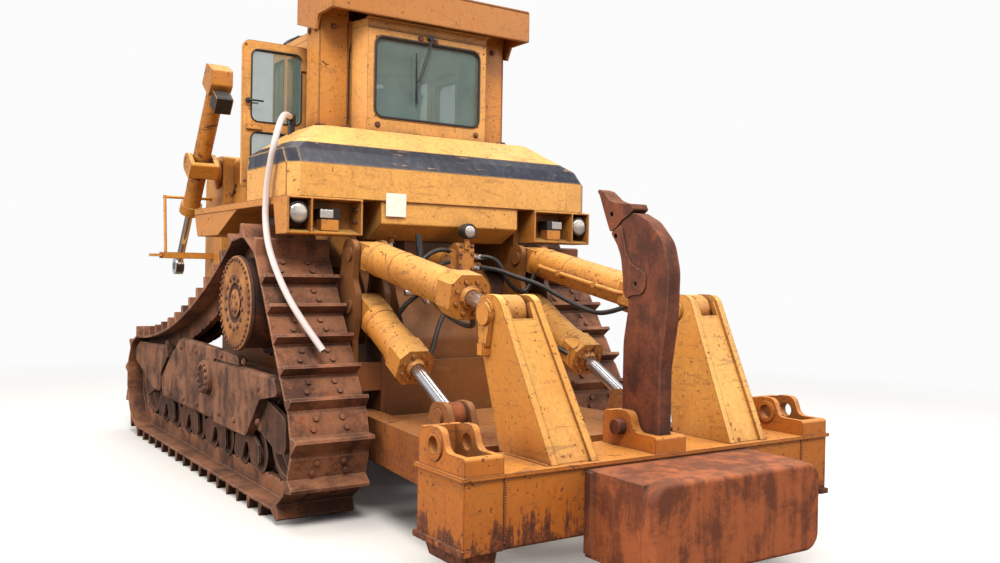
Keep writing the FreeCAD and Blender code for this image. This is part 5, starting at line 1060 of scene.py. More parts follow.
@dataclass
class Details:
    """Pieces of one sub-assembly, placed by the layout and finished from the palette."""

    layout: Layout
    palette: Palette

    def at(self, x: float, forward: float, up: float) -> Point:
        """Frame point of a place in the layout."""
        return self.layout.at(x, forward, up)

    def block(self, name: str, low: Point, high: Point, bevel: float) -> bpy.types.Object:
        """Slab between two places of the layout."""
        return Bench.slab(name, self.at(*low), self.at(*high), bevel)

    def blade_lift(self, side: float) -> Along:
        """Line of one of the blade's lift cylinders."""
        return Along(self.layout, side * 1.05, (2.985, 3.830), (4.430, 1.880))

    def fit(self, piece: bpy.types.Object, finish: str, body: str = "chassis",
            slot: str | None = None) -> bpy.types.Object:
        """Dress one piece."""
        return self.palette.dress(piece, finish, body, slot)

    def gather(self, name: str, pieces: Sequence[bpy.types.Object], finish: str, body: str = "chassis",
               slot: str | None = None) -> bpy.types.Object:
        """Join pieces under one name and dress them."""
        return self.fit(Bench.joined(name, pieces), finish, body, slot)

    def bolts(self, name: str, places: Sequence[tuple[Sequence[float], Sequence[float]]], sizes: Sequence[float],
              finish: str = "bolt", body: str = "chassis") -> bpy.types.Object:
        """Stand bolt heads on points along their directions.

        Args:
            name: The piece's name.
            places: Point and direction of each bolt.
            sizes: Width over the flats, height and, for a washer, its radius.
            finish: Name of the heads' finish.
            body: The body that they ride on.

        Returns:
            The joined heads.
        """
        master = Bench.bolt(name + "_master", *sizes)
        spins = random.Random(len(places))
        heads = Bench.pattern(name, master, [turned_to(way, point, spins.uniform(0.0, 1.0))
                                             for point, way in places])
        return self.fit(heads, finish, body)


@dataclass
class TankDetails(Details):
    """Stripe, placard, seams and drain of the fuel tank."""

    stripe_low: float = 2.686
    stripe_high: float = 2.868
    stripe_front: float = 0.915
    crease: float = 2.684
    rear: float = -0.046
    half: float = 1.430
    bevel: float = 0.084
    drain: tuple[float, float] = (-0.455, 0.20)

    def build(self) -> None:
        """Make all pieces."""
        self.make_stripe()
        self.make_placard()
        self.make_seams()
        self.make_drain()

    def make_stripe(self) -> None:
        """Dark film cut from the tank's own skin, so that it follows every bend."""
        skin = cut_copy("fuel_tank", [((0.0, 0.0, self.stripe_low), (0.0, 0.0, -1.0)),
                                      ((0.0, 0.0, self.stripe_high), UPWARD),
                                      (self.at(0.0, self.stripe_front, 0.0), FORWARD)], False)
        Bench.modified(skin, "SOLIDIFY", {"thickness": 0.0025, "offset": 1.0})
        self.gather("tank_stripe", [skin], "stripe")

    def make_placard(self) -> None:
        """Blank pale card on the tank's rear face."""
        self.fit(self.block("tank_placard", (-0.628, self.rear - 0.003, 2.306),
                            (-0.448, self.rear + 0.001, 2.492), 0.0), "placard")

    def make_seams(self) -> None:
        """Weld seams up the tank's rear corners."""
        seam = self.rear + self.bevel
        welds = [Fasteners.weld("tank_corner_weld_" + name, self.at(side * self.half, seam, 2.432),
                                self.at(side * self.half, seam, self.crease), 0.006)
                 for side, name in SIDES.items()]
        self.gather("tank_welds", welds, "tank")

    def make_drain(self) -> None:
        """Drain below the tank: flange, neck, plated stub and nut."""
        # group, finish, and per rod its name, radius, length, sides, bevel and height
        groups = [
            ("tank_drain_flange", "panel", [("drain_flange", 0.055, 0.02, 28, 0.004, 2.155),
                                            ("drain_neck", 0.03, 0.05, 24, 0.004, 2.125)]),
            ("tank_drain", "fitting", [("tank_drain_stub", 0.02, 0.13, 20, 0.003, 2.04),
                                       ("tank_drain_nut", 0.032, 0.03, 6, 0.003, 1.985)]),
        ]
        for group, finish, rods in groups:
            made = [moved(Bench.rod(*rod), self.at(*self.drain, up)) for *rod, up in rods]
            self.gather(group, made, finish)


@dataclass
class LampDetails(Details):
    """Lenses, rims and cases of the rear lamps, the lamp on the valve and the lamp cubes."""

    round_x: float = 1.3525
    square_x: float = 1.085
    middle: float = 2.303
    round_rear: float = -0.02
    square_rear: float = 0.005
    round_radius: float = 0.080
    cube_half: float = 0.0895

    def build(self) -> None:
        """Make the lamps of both boxes and the lamp on the valve."""
        self.make_round_lamps()
        self.make_square_lamps()
        self.make_valve_lamp()
        self.make_cube_lamps()

    def lens(self, name: str, radius: float, bulge: float) -> bpy.types.Object:
        """A domed lens that looks rearwards from the origin.

        Args:
            name: The piece's name.
            radius: The lens's radius.
            bulge: How far it stands out.

        Returns:
            The lens.
        """
        Bench.clear()
        bpy.ops.mesh.primitive_uv_sphere_add(segments=36, ring_count=18, radius=1.0)
        glass = Bench.active(name)
        bpy.ops.object.mode_set(mode="EDIT")
        bpy.ops.mesh.select_all(action="SELECT")
        bpy.ops.mesh.bisect(plane_co=(0.0, 0.0, 0.0), plane_no=(0.0, 1.0, 0.0), clear_outer=True, use_fill=True)
        bpy.ops.object.mode_set(mode="OBJECT")
        glass.data.transform(Matrix.Diagonal((radius, bulge, radius, 1.0)))
        Bench.smooth(glass, 50.0)
        return glass

    def make_round_lamps(self) -> None:
        """Round lamp in each box: domed lens and black rim."""
        spots = [self.at(side * self.round_x, self.round_rear - 0.001, self.middle) for side in SIDES]
        lenses = [moved(self.lens("round_lens", self.round_radius * 0.9, 0.02), spot) for spot in spots]
        rims = [moved(Bench.ring("round_rim", self.round_radius * 0.95, 0.009, "Y", 48, 10), spot)
                for spot in spots]
        self.gather("round_lamp_lenses", lenses, "lens")
        self.gather("round_lamp_rims", rims, "black")

    def make_square_lamps(self) -> None:
        """Small rectangular lamp on its foot in each box, with bolts in the box's side."""
        # name, shift outwards, half width, rear, front, low, high, bevel, finish
        parts = [
            ("square_lamp_lenses", 0.03, 0.055, -0.012, -0.002, -0.032, 0.032, 0.005, "lens"),
            ("square_lamp_cases", 0.0, 0.078, -0.006, 0.02, -0.042, 0.042, 0.006, "black"),
            ("square_lamp_feet", 0.0, 0.075, -0.005, 0.10, -0.130, -0.043, 0.004, "panel"),
        ]
        for name, shift, half, rear, front, low, high, bevel, finish in parts:
            slabs = []
            for side in SIDES:
                x = side * self.square_x + side * shift
                slabs.append(self.block("lamp_part", (x - half, self.square_rear + rear, self.middle + low),
                                        (x + half, self.square_rear + front, self.middle + high), bevel))
            self.gather(name, slabs, finish)
        bolts = [(self.at(side * 0.849, forward, self.middle + up), (side, 0.0, 0.0))
                 for side in SIDES for forward in (0.02, 0.07) for up in (-0.045, 0.045)]
        self.bolts("lamp_box_bolts", bolts, (0.026, 0.012, 0.02))

    def make_valve_lamp(self) -> None:
        """Round lamp above the ripper's valve."""
        rear = -0.046 - 0.020 - 0.090
        spot = self.at(0.095, rear - 0.002, 2.210)
        self.fit(moved(self.lens("valve_lamp_lens", 0.050, 0.014), spot), "lens")
        rim = moved(Bench.ring("valve_lamp_rim", 0.056, 0.008, "Y", 40, 10), spot)
        shell = moved(Bench.rod("valve_lamp_shell", 0.0635, 0.086, 36, 0.006, "Y"),
                      (spot[0], spot[1] + 0.047, spot[2]))
        band = moved(Bench.ring("valve_lamp_band", 0.0635, 0.004, "Y", 40, 8),
                     (spot[0], spot[1] + 0.03, spot[2]))
        self.gather("valve_lamp_rim", [rim, shell, band], "black")

    def make_cube_lamps(self) -> None:
        """Black cases of the lamps that ride on the blade's lift cylinders."""
        half = self.cube_half
        for side, name in SIDES.items():
            line = self.blade_lift(side)
            case = Bench.slab("cube_lamp_case_" + name, (-half,) * 3, (half,) * 3, 0.012)
            face = Bench.slab("cube_lamp_face", (-0.070, -0.070, -0.0935), (0.070, 0.070, -0.0885), 0.008)
            lamp = Bench.joined("cube_lamp_" + name, [case, face])
            self.fit(placed(lamp, line.ahead(), line.point(0.1475, -0.2425)), "black", "blade_barrel_" + name)


@dataclass
class CabDetails(Details):
    """Window seals, wiper, bolts and seams of the cab, and the trim of its doors."""

    rear: float = 0.410
    window_half: float = 0.515
    window_low: float = 3.173
    window_high: float = 3.850
    corner: float = 0.070
    side_half: float = 0.800
    hinge_x: float = 0.8163
    hinge_forward: float = 1.075
    door_width: float = 0.615
    door_depth: float = 0.044

    def build(self) -> None:
        """Make the trim of the fixed cab and of both doors."""
        self.make_rear_seal()
        self.make_side_seals()
        self.make_wiper()
        self.make_cab_fasteners()
        for side in SIDES:
            self.make_door_trim(side)
        self.make_roof_seams()

    def rounded(self, low: tuple[float, float], high: tuple[float, float], corner: float,
                steps: int = 5) -> list[tuple[float, float]]:
        """Rounded rectangle as a list of points.

        Args:
            low: Lower left corner.
            high: Upper right corner.
            corner: Corner radius.
            steps: Points on each corner.

        Returns:
            Points around the rectangle.
        """
        points = []
        centres = [(high[0] - corner, high[1] - corner, 0.0), (low[0] + corner, high[1] - corner, 90.0),
                   (low[0] + corner, low[1] + corner, 180.0), (high[0] - corner, low[1] + corner, 270.0)]
        for across, up, start in centres:
            for index in range(steps + 1):
                angle = math.radians(start + 90.0 * index / steps)
                points.append((across + corner * math.cos(angle), up + corner * math.sin(angle)))
        return points

    def make_rear_seal(self) -> None:
        """Rubber seal with a pale lip round the rear window."""
        outline = self.rounded((-self.window_half, self.window_low), (self.window_half, self.window_high),
                               self.corner)
        seal = Bench.loop("rear_window_seal", [self.at(x, self.rear - 0.001, z) for x, z in outline], 0.010)
        self.fit(seal, "rubber")
        outer = self.rounded((-self.window_half - 0.013, self.window_low - 0.013),
                             (self.window_half + 0.013, self.window_high + 0.013), self.corner + 0.013)
        lip = Bench.loop("rear_window_lip", [self.at(x, self.rear, z) for x, z in outer], 0.0055)
        self.fit(lip, "worn_lip")

    def make_side_seals(self) -> None:
        """Seals of the quarter windows beside the rear window and in the cab's flanks."""
        low, high = self.window_low, self.window_high
        seals = []
        for side in SIDES:
            for name, x, near, far in (("waist_seal", 0.641, (0.672, low + 0.002), (0.888, high - 0.002)),
                                       ("flank_seal", 0.801, (1.782, low - 0.298), (2.028, high - 0.002))):
                outline = self.rounded(near, far, 0.03)
                seals.append(Bench.loop(name, [self.at(side * x, y, z) for y, z in outline], 0.009))
        self.gather("quarter_window_seals", seals, "rubber")

    def make_wiper(self) -> None:
        """Wiper of the rear window: spindle, two-bar arm, spine and rubber."""
        at, face = self.at, self.rear
        axle, height = -0.005, 3.893
        pieces = [moved(Bench.rod("wiper_spindle", 0.016, 0.05, 20, 0.003, "Y"), at(axle, face - 0.020, height)),
                  moved(Bench.rod("wiper_cap", 0.024, 0.02, 20, 0.004, "Y"), at(axle, face - 0.04, height))]
        for shift in (0.0, 0.028):
            pieces.append(Bench.pipe("wiper_arm", [
                at(axle + shift * 0.4, face - 0.043, height), at(-0.06 + shift, face - 0.040, 3.70),
                at(-0.126 + shift * 0.5, face - 0.034, 3.50)], 0.005, 3))
        pieces.append(Bench.pipe("wiper_spine", [
            at(-0.143, face - 0.026, 3.75), at(-0.134, face - 0.030, 3.53), at(-0.125, face - 0.026, 3.316)],
            0.006, 3))
        pieces.append(Bench.slab("wiper_rubber", at(-0.139, face - 0.024, 3.32),
                                 at(-0.131, face - 0.012, 3.745), 0.002))
        self.gather("rear_wiper", pieces, "black")

    def make_cab_fasteners(self) -> None:
        """Bolts on the rear wall and of the posts."""
        places = [(self.at(x, self.rear, z), REARWARD)
                  for x, z in ((-0.09, 3.886), (0.06, 3.876), (-0.49, 3.105), (0.49, 3.105))]
        for side in SIDES:
            places.append((self.at(side * 0.80, 0.640, 3.93), REARWARD))
            places += [(self.at(side * x, 0.627, 3.08), UPWARD) for x in (0.70, 0.88)]
            places += [(self.at(side * 0.931, forward, 3.905), (side, 0.0, 0.0)) for forward in (0.70, 0.84)]
        self.bolts("cab_bolts", places, (0.032, 0.018, 0.026))

    def make_roof_seams(self) -> None:
        """Thin dark strip of painted shadow along the seam on the cab's rear wall, and drip rail under the roof."""
        rear = self.rear
        # Painted shadow: a dark strip along the seam.
        self.fit(self.block("cab_rear_seam_shadow", (-0.585, rear - 0.003, 3.915), (0.585, rear + 0.002, 3.9195), 0.0),
                 "seam")
        self.fit(self.block("cab_drip_rail", (-0.595, rear - 0.016, 3.972), (0.595, rear + 0.001, 3.984), 0.003),
                 "cab")

    def make_door_trim(self, side: float) -> None:
        """Seals, handles and screws of one door, open on the left and shut on the right.

        Args:
            side: -1 for the left door, 1 for the right.
        """
        name = SIDES[side]
        body = "door_" + name
        seals = []
        for start, low, high in ((0.083, 3.130, 3.747), (0.123, 2.760, 3.040)):
            outline = self.rounded((start, low), (self.door_width - 0.083, high), 0.06)
            for face in (0.0005, -self.door_depth - 0.0005):
                points = [self.door_point(side, along, face, up) for along, up in outline]
                seals.append(Bench.loop("door_seal", points, 0.0075))
        self.gather(f"door_seals_{name}", seals, "rubber", body)
        normal = Vector(self.door_point(side, 0.0, 1.0, 0.0)) - Vector(self.door_point(side, 0.0, 0.0, 0.0))
        way = Vector(self.door_point(side, 1.0, 0.0, 0.0)) - Vector(self.door_point(side, 0.0, 0.0, 0.0))
        handles = []
        for out, sign in ((0.026, 1.0), (-self.door_depth, -1.0)):
            centre = Vector(self.door_point(side, self.door_width - 0.045, out, 3.300))
            boss = Bench.turned("handle_boss", [(0.0001, 0.0), (0.024, 0.0), (0.022, 0.016), (0.0001, 0.018)], 24)
            lift = normal * sign
            placed(boss, lift, centre)
            lever = Bench.pipe("handle_lever", [tuple(centre + lift * 0.010), tuple(centre + lift * 0.030),
                                                tuple(centre + lift * 0.034 - way * 0.030),
                                                tuple(centre + lift * 0.030 - way * 0.125)], 0.0085, 3)
            handles += [boss, lever]
        self.gather(f"door_handles_{name}", handles, "black", body)
        places = ((0.030, 2.62), (0.030, 3.10), (0.030, 3.78), (0.585, 2.62), (0.585, 3.78), (0.31, 2.60))
        screws = [(self.door_point(side, along, 0.0, up), tuple(normal)) for along, up in places]
        self.bolts(f"door_screws_{name}", screws, (0.020, 0.008), body=body)

    def door_point(self, side: float, along: float, out: float, up: float) -> Point:
        """Point of a door, from its hinge edge along its width and from its outer face.

        Args:
            side: -1 for the open left door, 1 for the shut right one.
            along: Distance from the hinge.
            out: Distance outwards from the outer face.
            up: Height above the ground.

        Returns:
            The point in the frame.
        """
        if side < 0:
            return self.at(-(self.hinge_x + along), self.hinge_forward + 0.0163 - out, up)
        return self.at(self.side_half + out, self.hinge_forward + along, up)


@dataclass
class StackDetails(Details):
    """Rain cap and bands of the exhaust stack, and the air cleaner's bands."""

    x: float = -0.230
    forward: float = 2.980
    pipe_top: float = 4.304
    pipe_radius: float = 0.078

    def build(self) -> None:
        """Make the cap and the bands."""
        self.make_cap()
        # group, name of a band, its side of the middle, bevel, and per band height, radius and depth
        groups = [
            ("stack_bands", "stack_band", 1.0, 0.004, [(up, 0.097 + 0.006, 0.035) for up in (4.05, 3.70, 3.32)]),
            ("cleaner_bands", "cleaner_lid", -1.0, 0.006,
             [(3.765, 0.157, 0.03), (3.55, 0.155, 0.03), (3.79, 0.11, 0.03)]),
        ]
        for group, name, side, bevel, bands in groups:
            made = [moved(Bench.rod(name, radius, depth, 40, bevel), self.at(side * self.x, self.forward, up))
                    for up, radius, depth in bands]
            self.gather(group, made, "black")

    def make_cap(self) -> None:
        """Hinged rain cap, blown half open."""
        lid = Bench.rod("cap_lid", self.pipe_radius + 0.028, 0.006, 36, 0.0)
        rim = Bench.ring("cap_rim", self.pipe_radius + 0.026, 0.006, "Z", 40, 8)
        weight = Bench.slab("cap_weight", (-0.02, -0.155, -0.015), (0.02, -0.085, 0.015), 0.004)
        rib = Bench.slab("cap_rib", (-0.008, -0.09, 0.0), (0.008, 0.08, 0.018), 0.003)
        piece = Bench.joined("stack_cap", [lid, rim, weight, rib])
        tilt = Matrix.Rotation(math.radians(32.0), 4, "X")
        shift = Matrix.Translation((0.0, self.pipe_radius + 0.02, 0.0))
        spot = Matrix.Translation(self.at(self.x, self.forward - self.pipe_radius - 0.015, self.pipe_top))
        turn = Matrix.Rotation(math.radians(-70.0), 4, "Z")
        middle = Matrix.Translation(self.at(self.x, self.forward, self.pipe_top))
        piece.data.transform(middle @ turn @ middle.inverted() @ spot @ tilt @ shift)
        self.fit(piece, "black")


@dataclass
class TrackHardware(Details):
    """Bolts of every shoe, found on the shoes' own flat faces."""

    shoe_half: float = 0.300
    shortest: float = 0.150
    longest: float = 0.172

    def build(self) -> None:
        """Bolt both tracks."""
        for name in ("track_left", "track_right"):
            places = []
            for middle, outward, travel in self.shoes(name):
                for across, along in ((-0.130, 0.030), (0.130, 0.030), (-0.102, -0.048), (0.102, -0.048)):
                    spot = middle + Vector((across, 0.0, 0.0)) + travel * along
                    places.append((tuple(spot), tuple(outward)))
            LOG.info("%s has %d shoe bolts", name, len(places))
            if places:
                self.bolts(name.replace("track", "shoe_bolts"), places, (0.038, 0.017))

    def shoes(self, name: str) -> list[tuple[Vector, Vector, Vector]]:
        """Outer faces of a track's shoes.

        Args:
            name: The track's node.

        Returns:
            Middle, outward normal and direction away from the grouser of each face.
        """
        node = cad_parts[name]
        mesh = node.data
        place = node.matrix_world
        centre = sum((place @ vertex.co for vertex in mesh.vertices), Vector()) / len(mesh.vertices)
        groups: dict[tuple[int, ...], list[int]] = {}
        for face in mesh.polygons:
            if abs(face.normal.x) > 0.02:
                continue
            offset = face.normal.dot(mesh.vertices[face.vertices[0]].co)
            key = (round(face.normal.y * 400), round(face.normal.z * 400), round(offset * 400))
            groups.setdefault(key, []).append(face.index)
        found = []
        for members in groups.values():
            for patch in self.patches(mesh, members):
                points = [place @ vertex for vertex in patch]
                low_x, high_x = min(p.x for p in points), max(p.x for p in points)
                if high_x - low_x < 2.0 * self.shoe_half:
                    continue
                found.append(self.shoe(points, centre))
        return [shoe for shoe in found if shoe is not None]

    def patches(self, mesh: bpy.types.Mesh, members: Sequence[int]) -> list[list[Vector]]:
        """Connected patches of coplanar faces, each as its corners."""
        left = {index: {self.spot(mesh.vertices[corner].co) for corner in mesh.polygons[index].vertices}
                for index in members}
        patches = []
        while left:
            _, corners = left.popitem()
            grown = True
            while grown:
                touching = [index for index, other in left.items() if len(other & corners) >= 2]
                for index in touching:
                    corners |= left.pop(index)
                grown = bool(touching)
            patches.append([Vector(corner) / 10000.0 for corner in corners])
        return patches

    @staticmethod
    def spot(point: Vector) -> tuple[int, int, int]:
        """A point rounded to tenths of a millimetre."""
        return (round(point.x * 10000), round(point.y * 10000), round(point.z * 10000))

    def shoe(self, points: Sequence[Vector], centre: Vector) -> tuple[Vector, Vector, Vector] | None:
        """Middle, normal and travel direction of one face, or None when it is no shoe's outer face.

        Args:
            points: Corners of the face.
            centre: Middle of the track's loop.

        Returns:
            The three vectors, or None.
        """
        ends = sorted({(round(p.y, 4), round(p.z, 4)) for p in points})
        first = Vector((0.0, *ends[0]))
        last = max((Vector((0.0, *end)) for end in ends), key=lambda end: (end - first).length)
        length = (last - first).length
        if not self.shortest < length < self.longest:
            return None
        middle = (first + last) / 2.0
        middle.x = (min(p.x for p in points) + max(p.x for p in points)) / 2.0
        travel = (last - first).normalized()
        outward = travel.cross(Vector((1.0, 0.0, 0.0))).normalized()
        away = Vector((0.0, middle.y - centre.y, middle.z - centre.z))
        if outward.dot(away) < 0.0:
            outward = -outward
        travel = Vector((1.0, 0.0, 0.0)).cross(outward).normalized()
        return middle, outward, travel


@dataclass
class DriveDetails(Details):
    """Covers, rings and bolts of the final drives and trunnions, and bolts of the track guards."""

    face: float = 1.606
    drive: tuple[float, float] = (0.660, 1.590)
    trunnion: tuple[float, float] = (1.560, 0.900)
    trunnion_face: float = 1.590
    guard_face: float = 1.536
    guard_bolts: tuple[tuple[float, float], ...] = (
        (0.28, 0.68), (0.28, 0.95), (0.85, 0.62), (1.25, 0.62), (0.62, 1.12), (1.20, 1.12),
        (1.90, 0.62), (2.35, 0.62), (2.80, 0.62), (1.95, 1.10), (2.45, 1.10), (2.95, 1.10))

    def build(self) -> None:
        """Make both sides."""
        rims, hubs, plates, guards = [], [], [], []
        for side in SIDES:
            rims += self.circle(side, self.drive, self.face + 0.003, 0.352, 40, 0.0)
            hubs += self.circle(side, self.drive, self.face, 0.205, 14, 0.2)
            hubs += self.circle(side, self.drive, self.face - 0.001, 0.062, 6, 0.0)
            plates += self.circle(side, self.trunnion, self.trunnion_face, 0.118, 12, 0.26)
            guards += [(self.at(side * self.guard_face, *place), (side, 0.0, 0.0)) for place in self.guard_bolts]
        self.bolts("drive_rim_bolts", rims, (0.024, 0.014))
        self.bolts("drive_hub_bolts", hubs, (0.034, 0.020, 0.026))
        self.bolts("trunnion_bolts", plates, (0.036, 0.022, 0.026))
        self.bolts("guard_bolts", guards, (0.040, 0.018, 0.030))
        self.make_covers()
        self.make_hub_rings()

    def make_covers(self) -> None:
        """Weathered cover plate over the face of each final drive."""
        plate = [(0.166, -0.010), (0.166, 0.002), (0.186, 0.005), (0.300, 0.005), (0.318, 0.002),
                 (0.372, 0.002), (0.380, -0.004), (0.380, -0.010)]
        cap = [(0.0001, -0.004), (0.114, -0.004), (0.114, 0.001), (0.108, 0.004), (0.0001, 0.004)]
        covers = [placed(Bench.turned(name, profile, sides), (side, 0.0, 0.0),
                         self.at(side * self.face, *self.drive))
                  for side in SIDES
                  for name, profile, sides in (("drive_cover", plate, 64), ("hub_cover", cap, 48))]
        self.gather("drive_covers", covers, "cover")

    def circle(self, side: float, centre: tuple[float, float], face: float, radius: float, count: int,
               start: float) -> list[tuple[Point, Point]]:
        """Places of bolts in a circle on an outer face.

        Args:
            side: -1 left, 1 right.
            centre: Forward and up of the middle.
            face: Distance of the face from the machine's middle.
            radius: Radius of the bolt circle.
            count: Number of bolts.
            start: Angle of the first bolt in radians.

        Returns:
            Point and direction of each bolt.
        """
        angles = [start + 2.0 * math.pi * index / count for index in range(count)]
        return [(self.at(side * face, centre[0] + radius * math.cos(angle), centre[1] + radius * math.sin(angle)),
                 (side, 0.0, 0.0)) for angle in angles]

    def make_hub_rings(self) -> None:
        """Raised ring and plug on each final drive's cover, and the cap of each trunnion."""
        ring = [(0.228, 0.0), (0.262, 0.0), (0.262, 0.014), (0.236, 0.022), (0.228, 0.022)]
        plug = [(0.0001, 0.0), (0.088, 0.0), (0.080, 0.024), (0.0001, 0.030)]
        cap = [(0.0001, 0.0), (0.142, 0.0), (0.136, 0.008), (0.088, 0.008), (0.080, 0.016), (0.0001, 0.016)]
        steel, bright = [], []
        for side in SIDES:
            out = (side, 0.0, 0.0)
            spot = self.at(side * (self.face - 0.014), *self.drive)
            bright += [placed(Bench.turned("drive_ring", ring, 64), out, spot),
                       placed(Bench.turned("drive_plug", plug, 40), out, spot)]
            steel.append(placed(Bench.turned("trunnion_cap", cap, 48), out,
                                self.at(side * (self.trunnion_face - 0.006), *self.trunnion)))
        self.gather("drive_hub_rings", bright, "cover")
        self.gather("trunnion_caps", steel, "drum")


# hose: cylinder, side, its end on the barrel (distance, out, turn) and its route in the layout
RIPPER_HOSES: dict[str, tuple[str, float, Point, list[Point]]] = {
    "hose_tilt_right_head": ("tilt", 1.0, (0.20, 0.12, 225.0), [
        (0.235, -0.085, 2.000), (0.29, -0.12, 2.01), (0.385, -0.17, 1.96), (0.43, -0.20, 1.82),
        (0.53, -0.21, 1.72), (0.66, -0.21, 1.70)]),
    "hose_tilt_right_gland": ("tilt", 1.0, (1.47, 0.15, 215.0), [
        (0.235, -0.085, 1.910), (0.30, -0.20, 1.91), (0.42, -0.36, 1.84), (0.54, -0.55, 1.78),
        (0.57, -0.80, 1.68), (0.60, -1.05, 1.60), (0.61, -1.28, 1.56)]),
    "hose_lift_right_head": ("lift", 1.0, (0.24, 0.12, 200.0), [
        (0.19, -0.10, 1.79), (0.245, -0.12, 1.74), (0.31, -0.16, 1.62), (0.45, -0.22, 1.55),
        (0.60, -0.26, 1.54)]),
    "hose_lift_right_gland": ("lift", 1.0, (0.80, 0.13, 180.0), [
        (0.12, -0.09, 1.735), (0.20, -0.16, 1.58), (0.40, -0.34, 1.42), (0.56, -0.58, 1.30),
        (0.61, -0.72, 1.27)]),
    "hose_tilt_left_head": ("tilt", -1.0, (0.20, 0.12, 315.0), [
        (-0.08, -0.12, 2.040), (-0.16, -0.16, 2.06), (-0.30, -0.18, 2.02), (-0.43, -0.18, 1.90),
        (-0.54, -0.18, 1.85)]),
    "hose_tilt_left_gland": ("tilt", -1.0, (1.46, 0.15, 300.0), [
        (-0.08, -0.12, 1.950), (-0.17, -0.17, 1.95), (-0.33, -0.30, 1.86), (-0.50, -0.50, 1.72),
        (-0.56, -0.85, 1.58), (-0.58, -1.15, 1.50), (-0.60, -1.38, 1.50)]),
    "hose_lift_left_head": ("lift", -1.0, (0.24, 0.12, 340.0), [
        (-0.10, -0.10, 1.86), (-0.20, -0.15, 1.84), (-0.34, -0.22, 1.74), (-0.48, -0.26, 1.66),
        (-0.58, -0.28, 1.60)]),
    "hose_lift_left_gland": ("lift", -1.0, (0.80, 0.13, 0.0), [
        (-0.02, -0.10, 1.74), (-0.12, -0.20, 1.60), (-0.29, -0.34, 1.47), (-0.46, -0.56, 1.33),
        (-0.58, -0.72, 1.26)]),
}


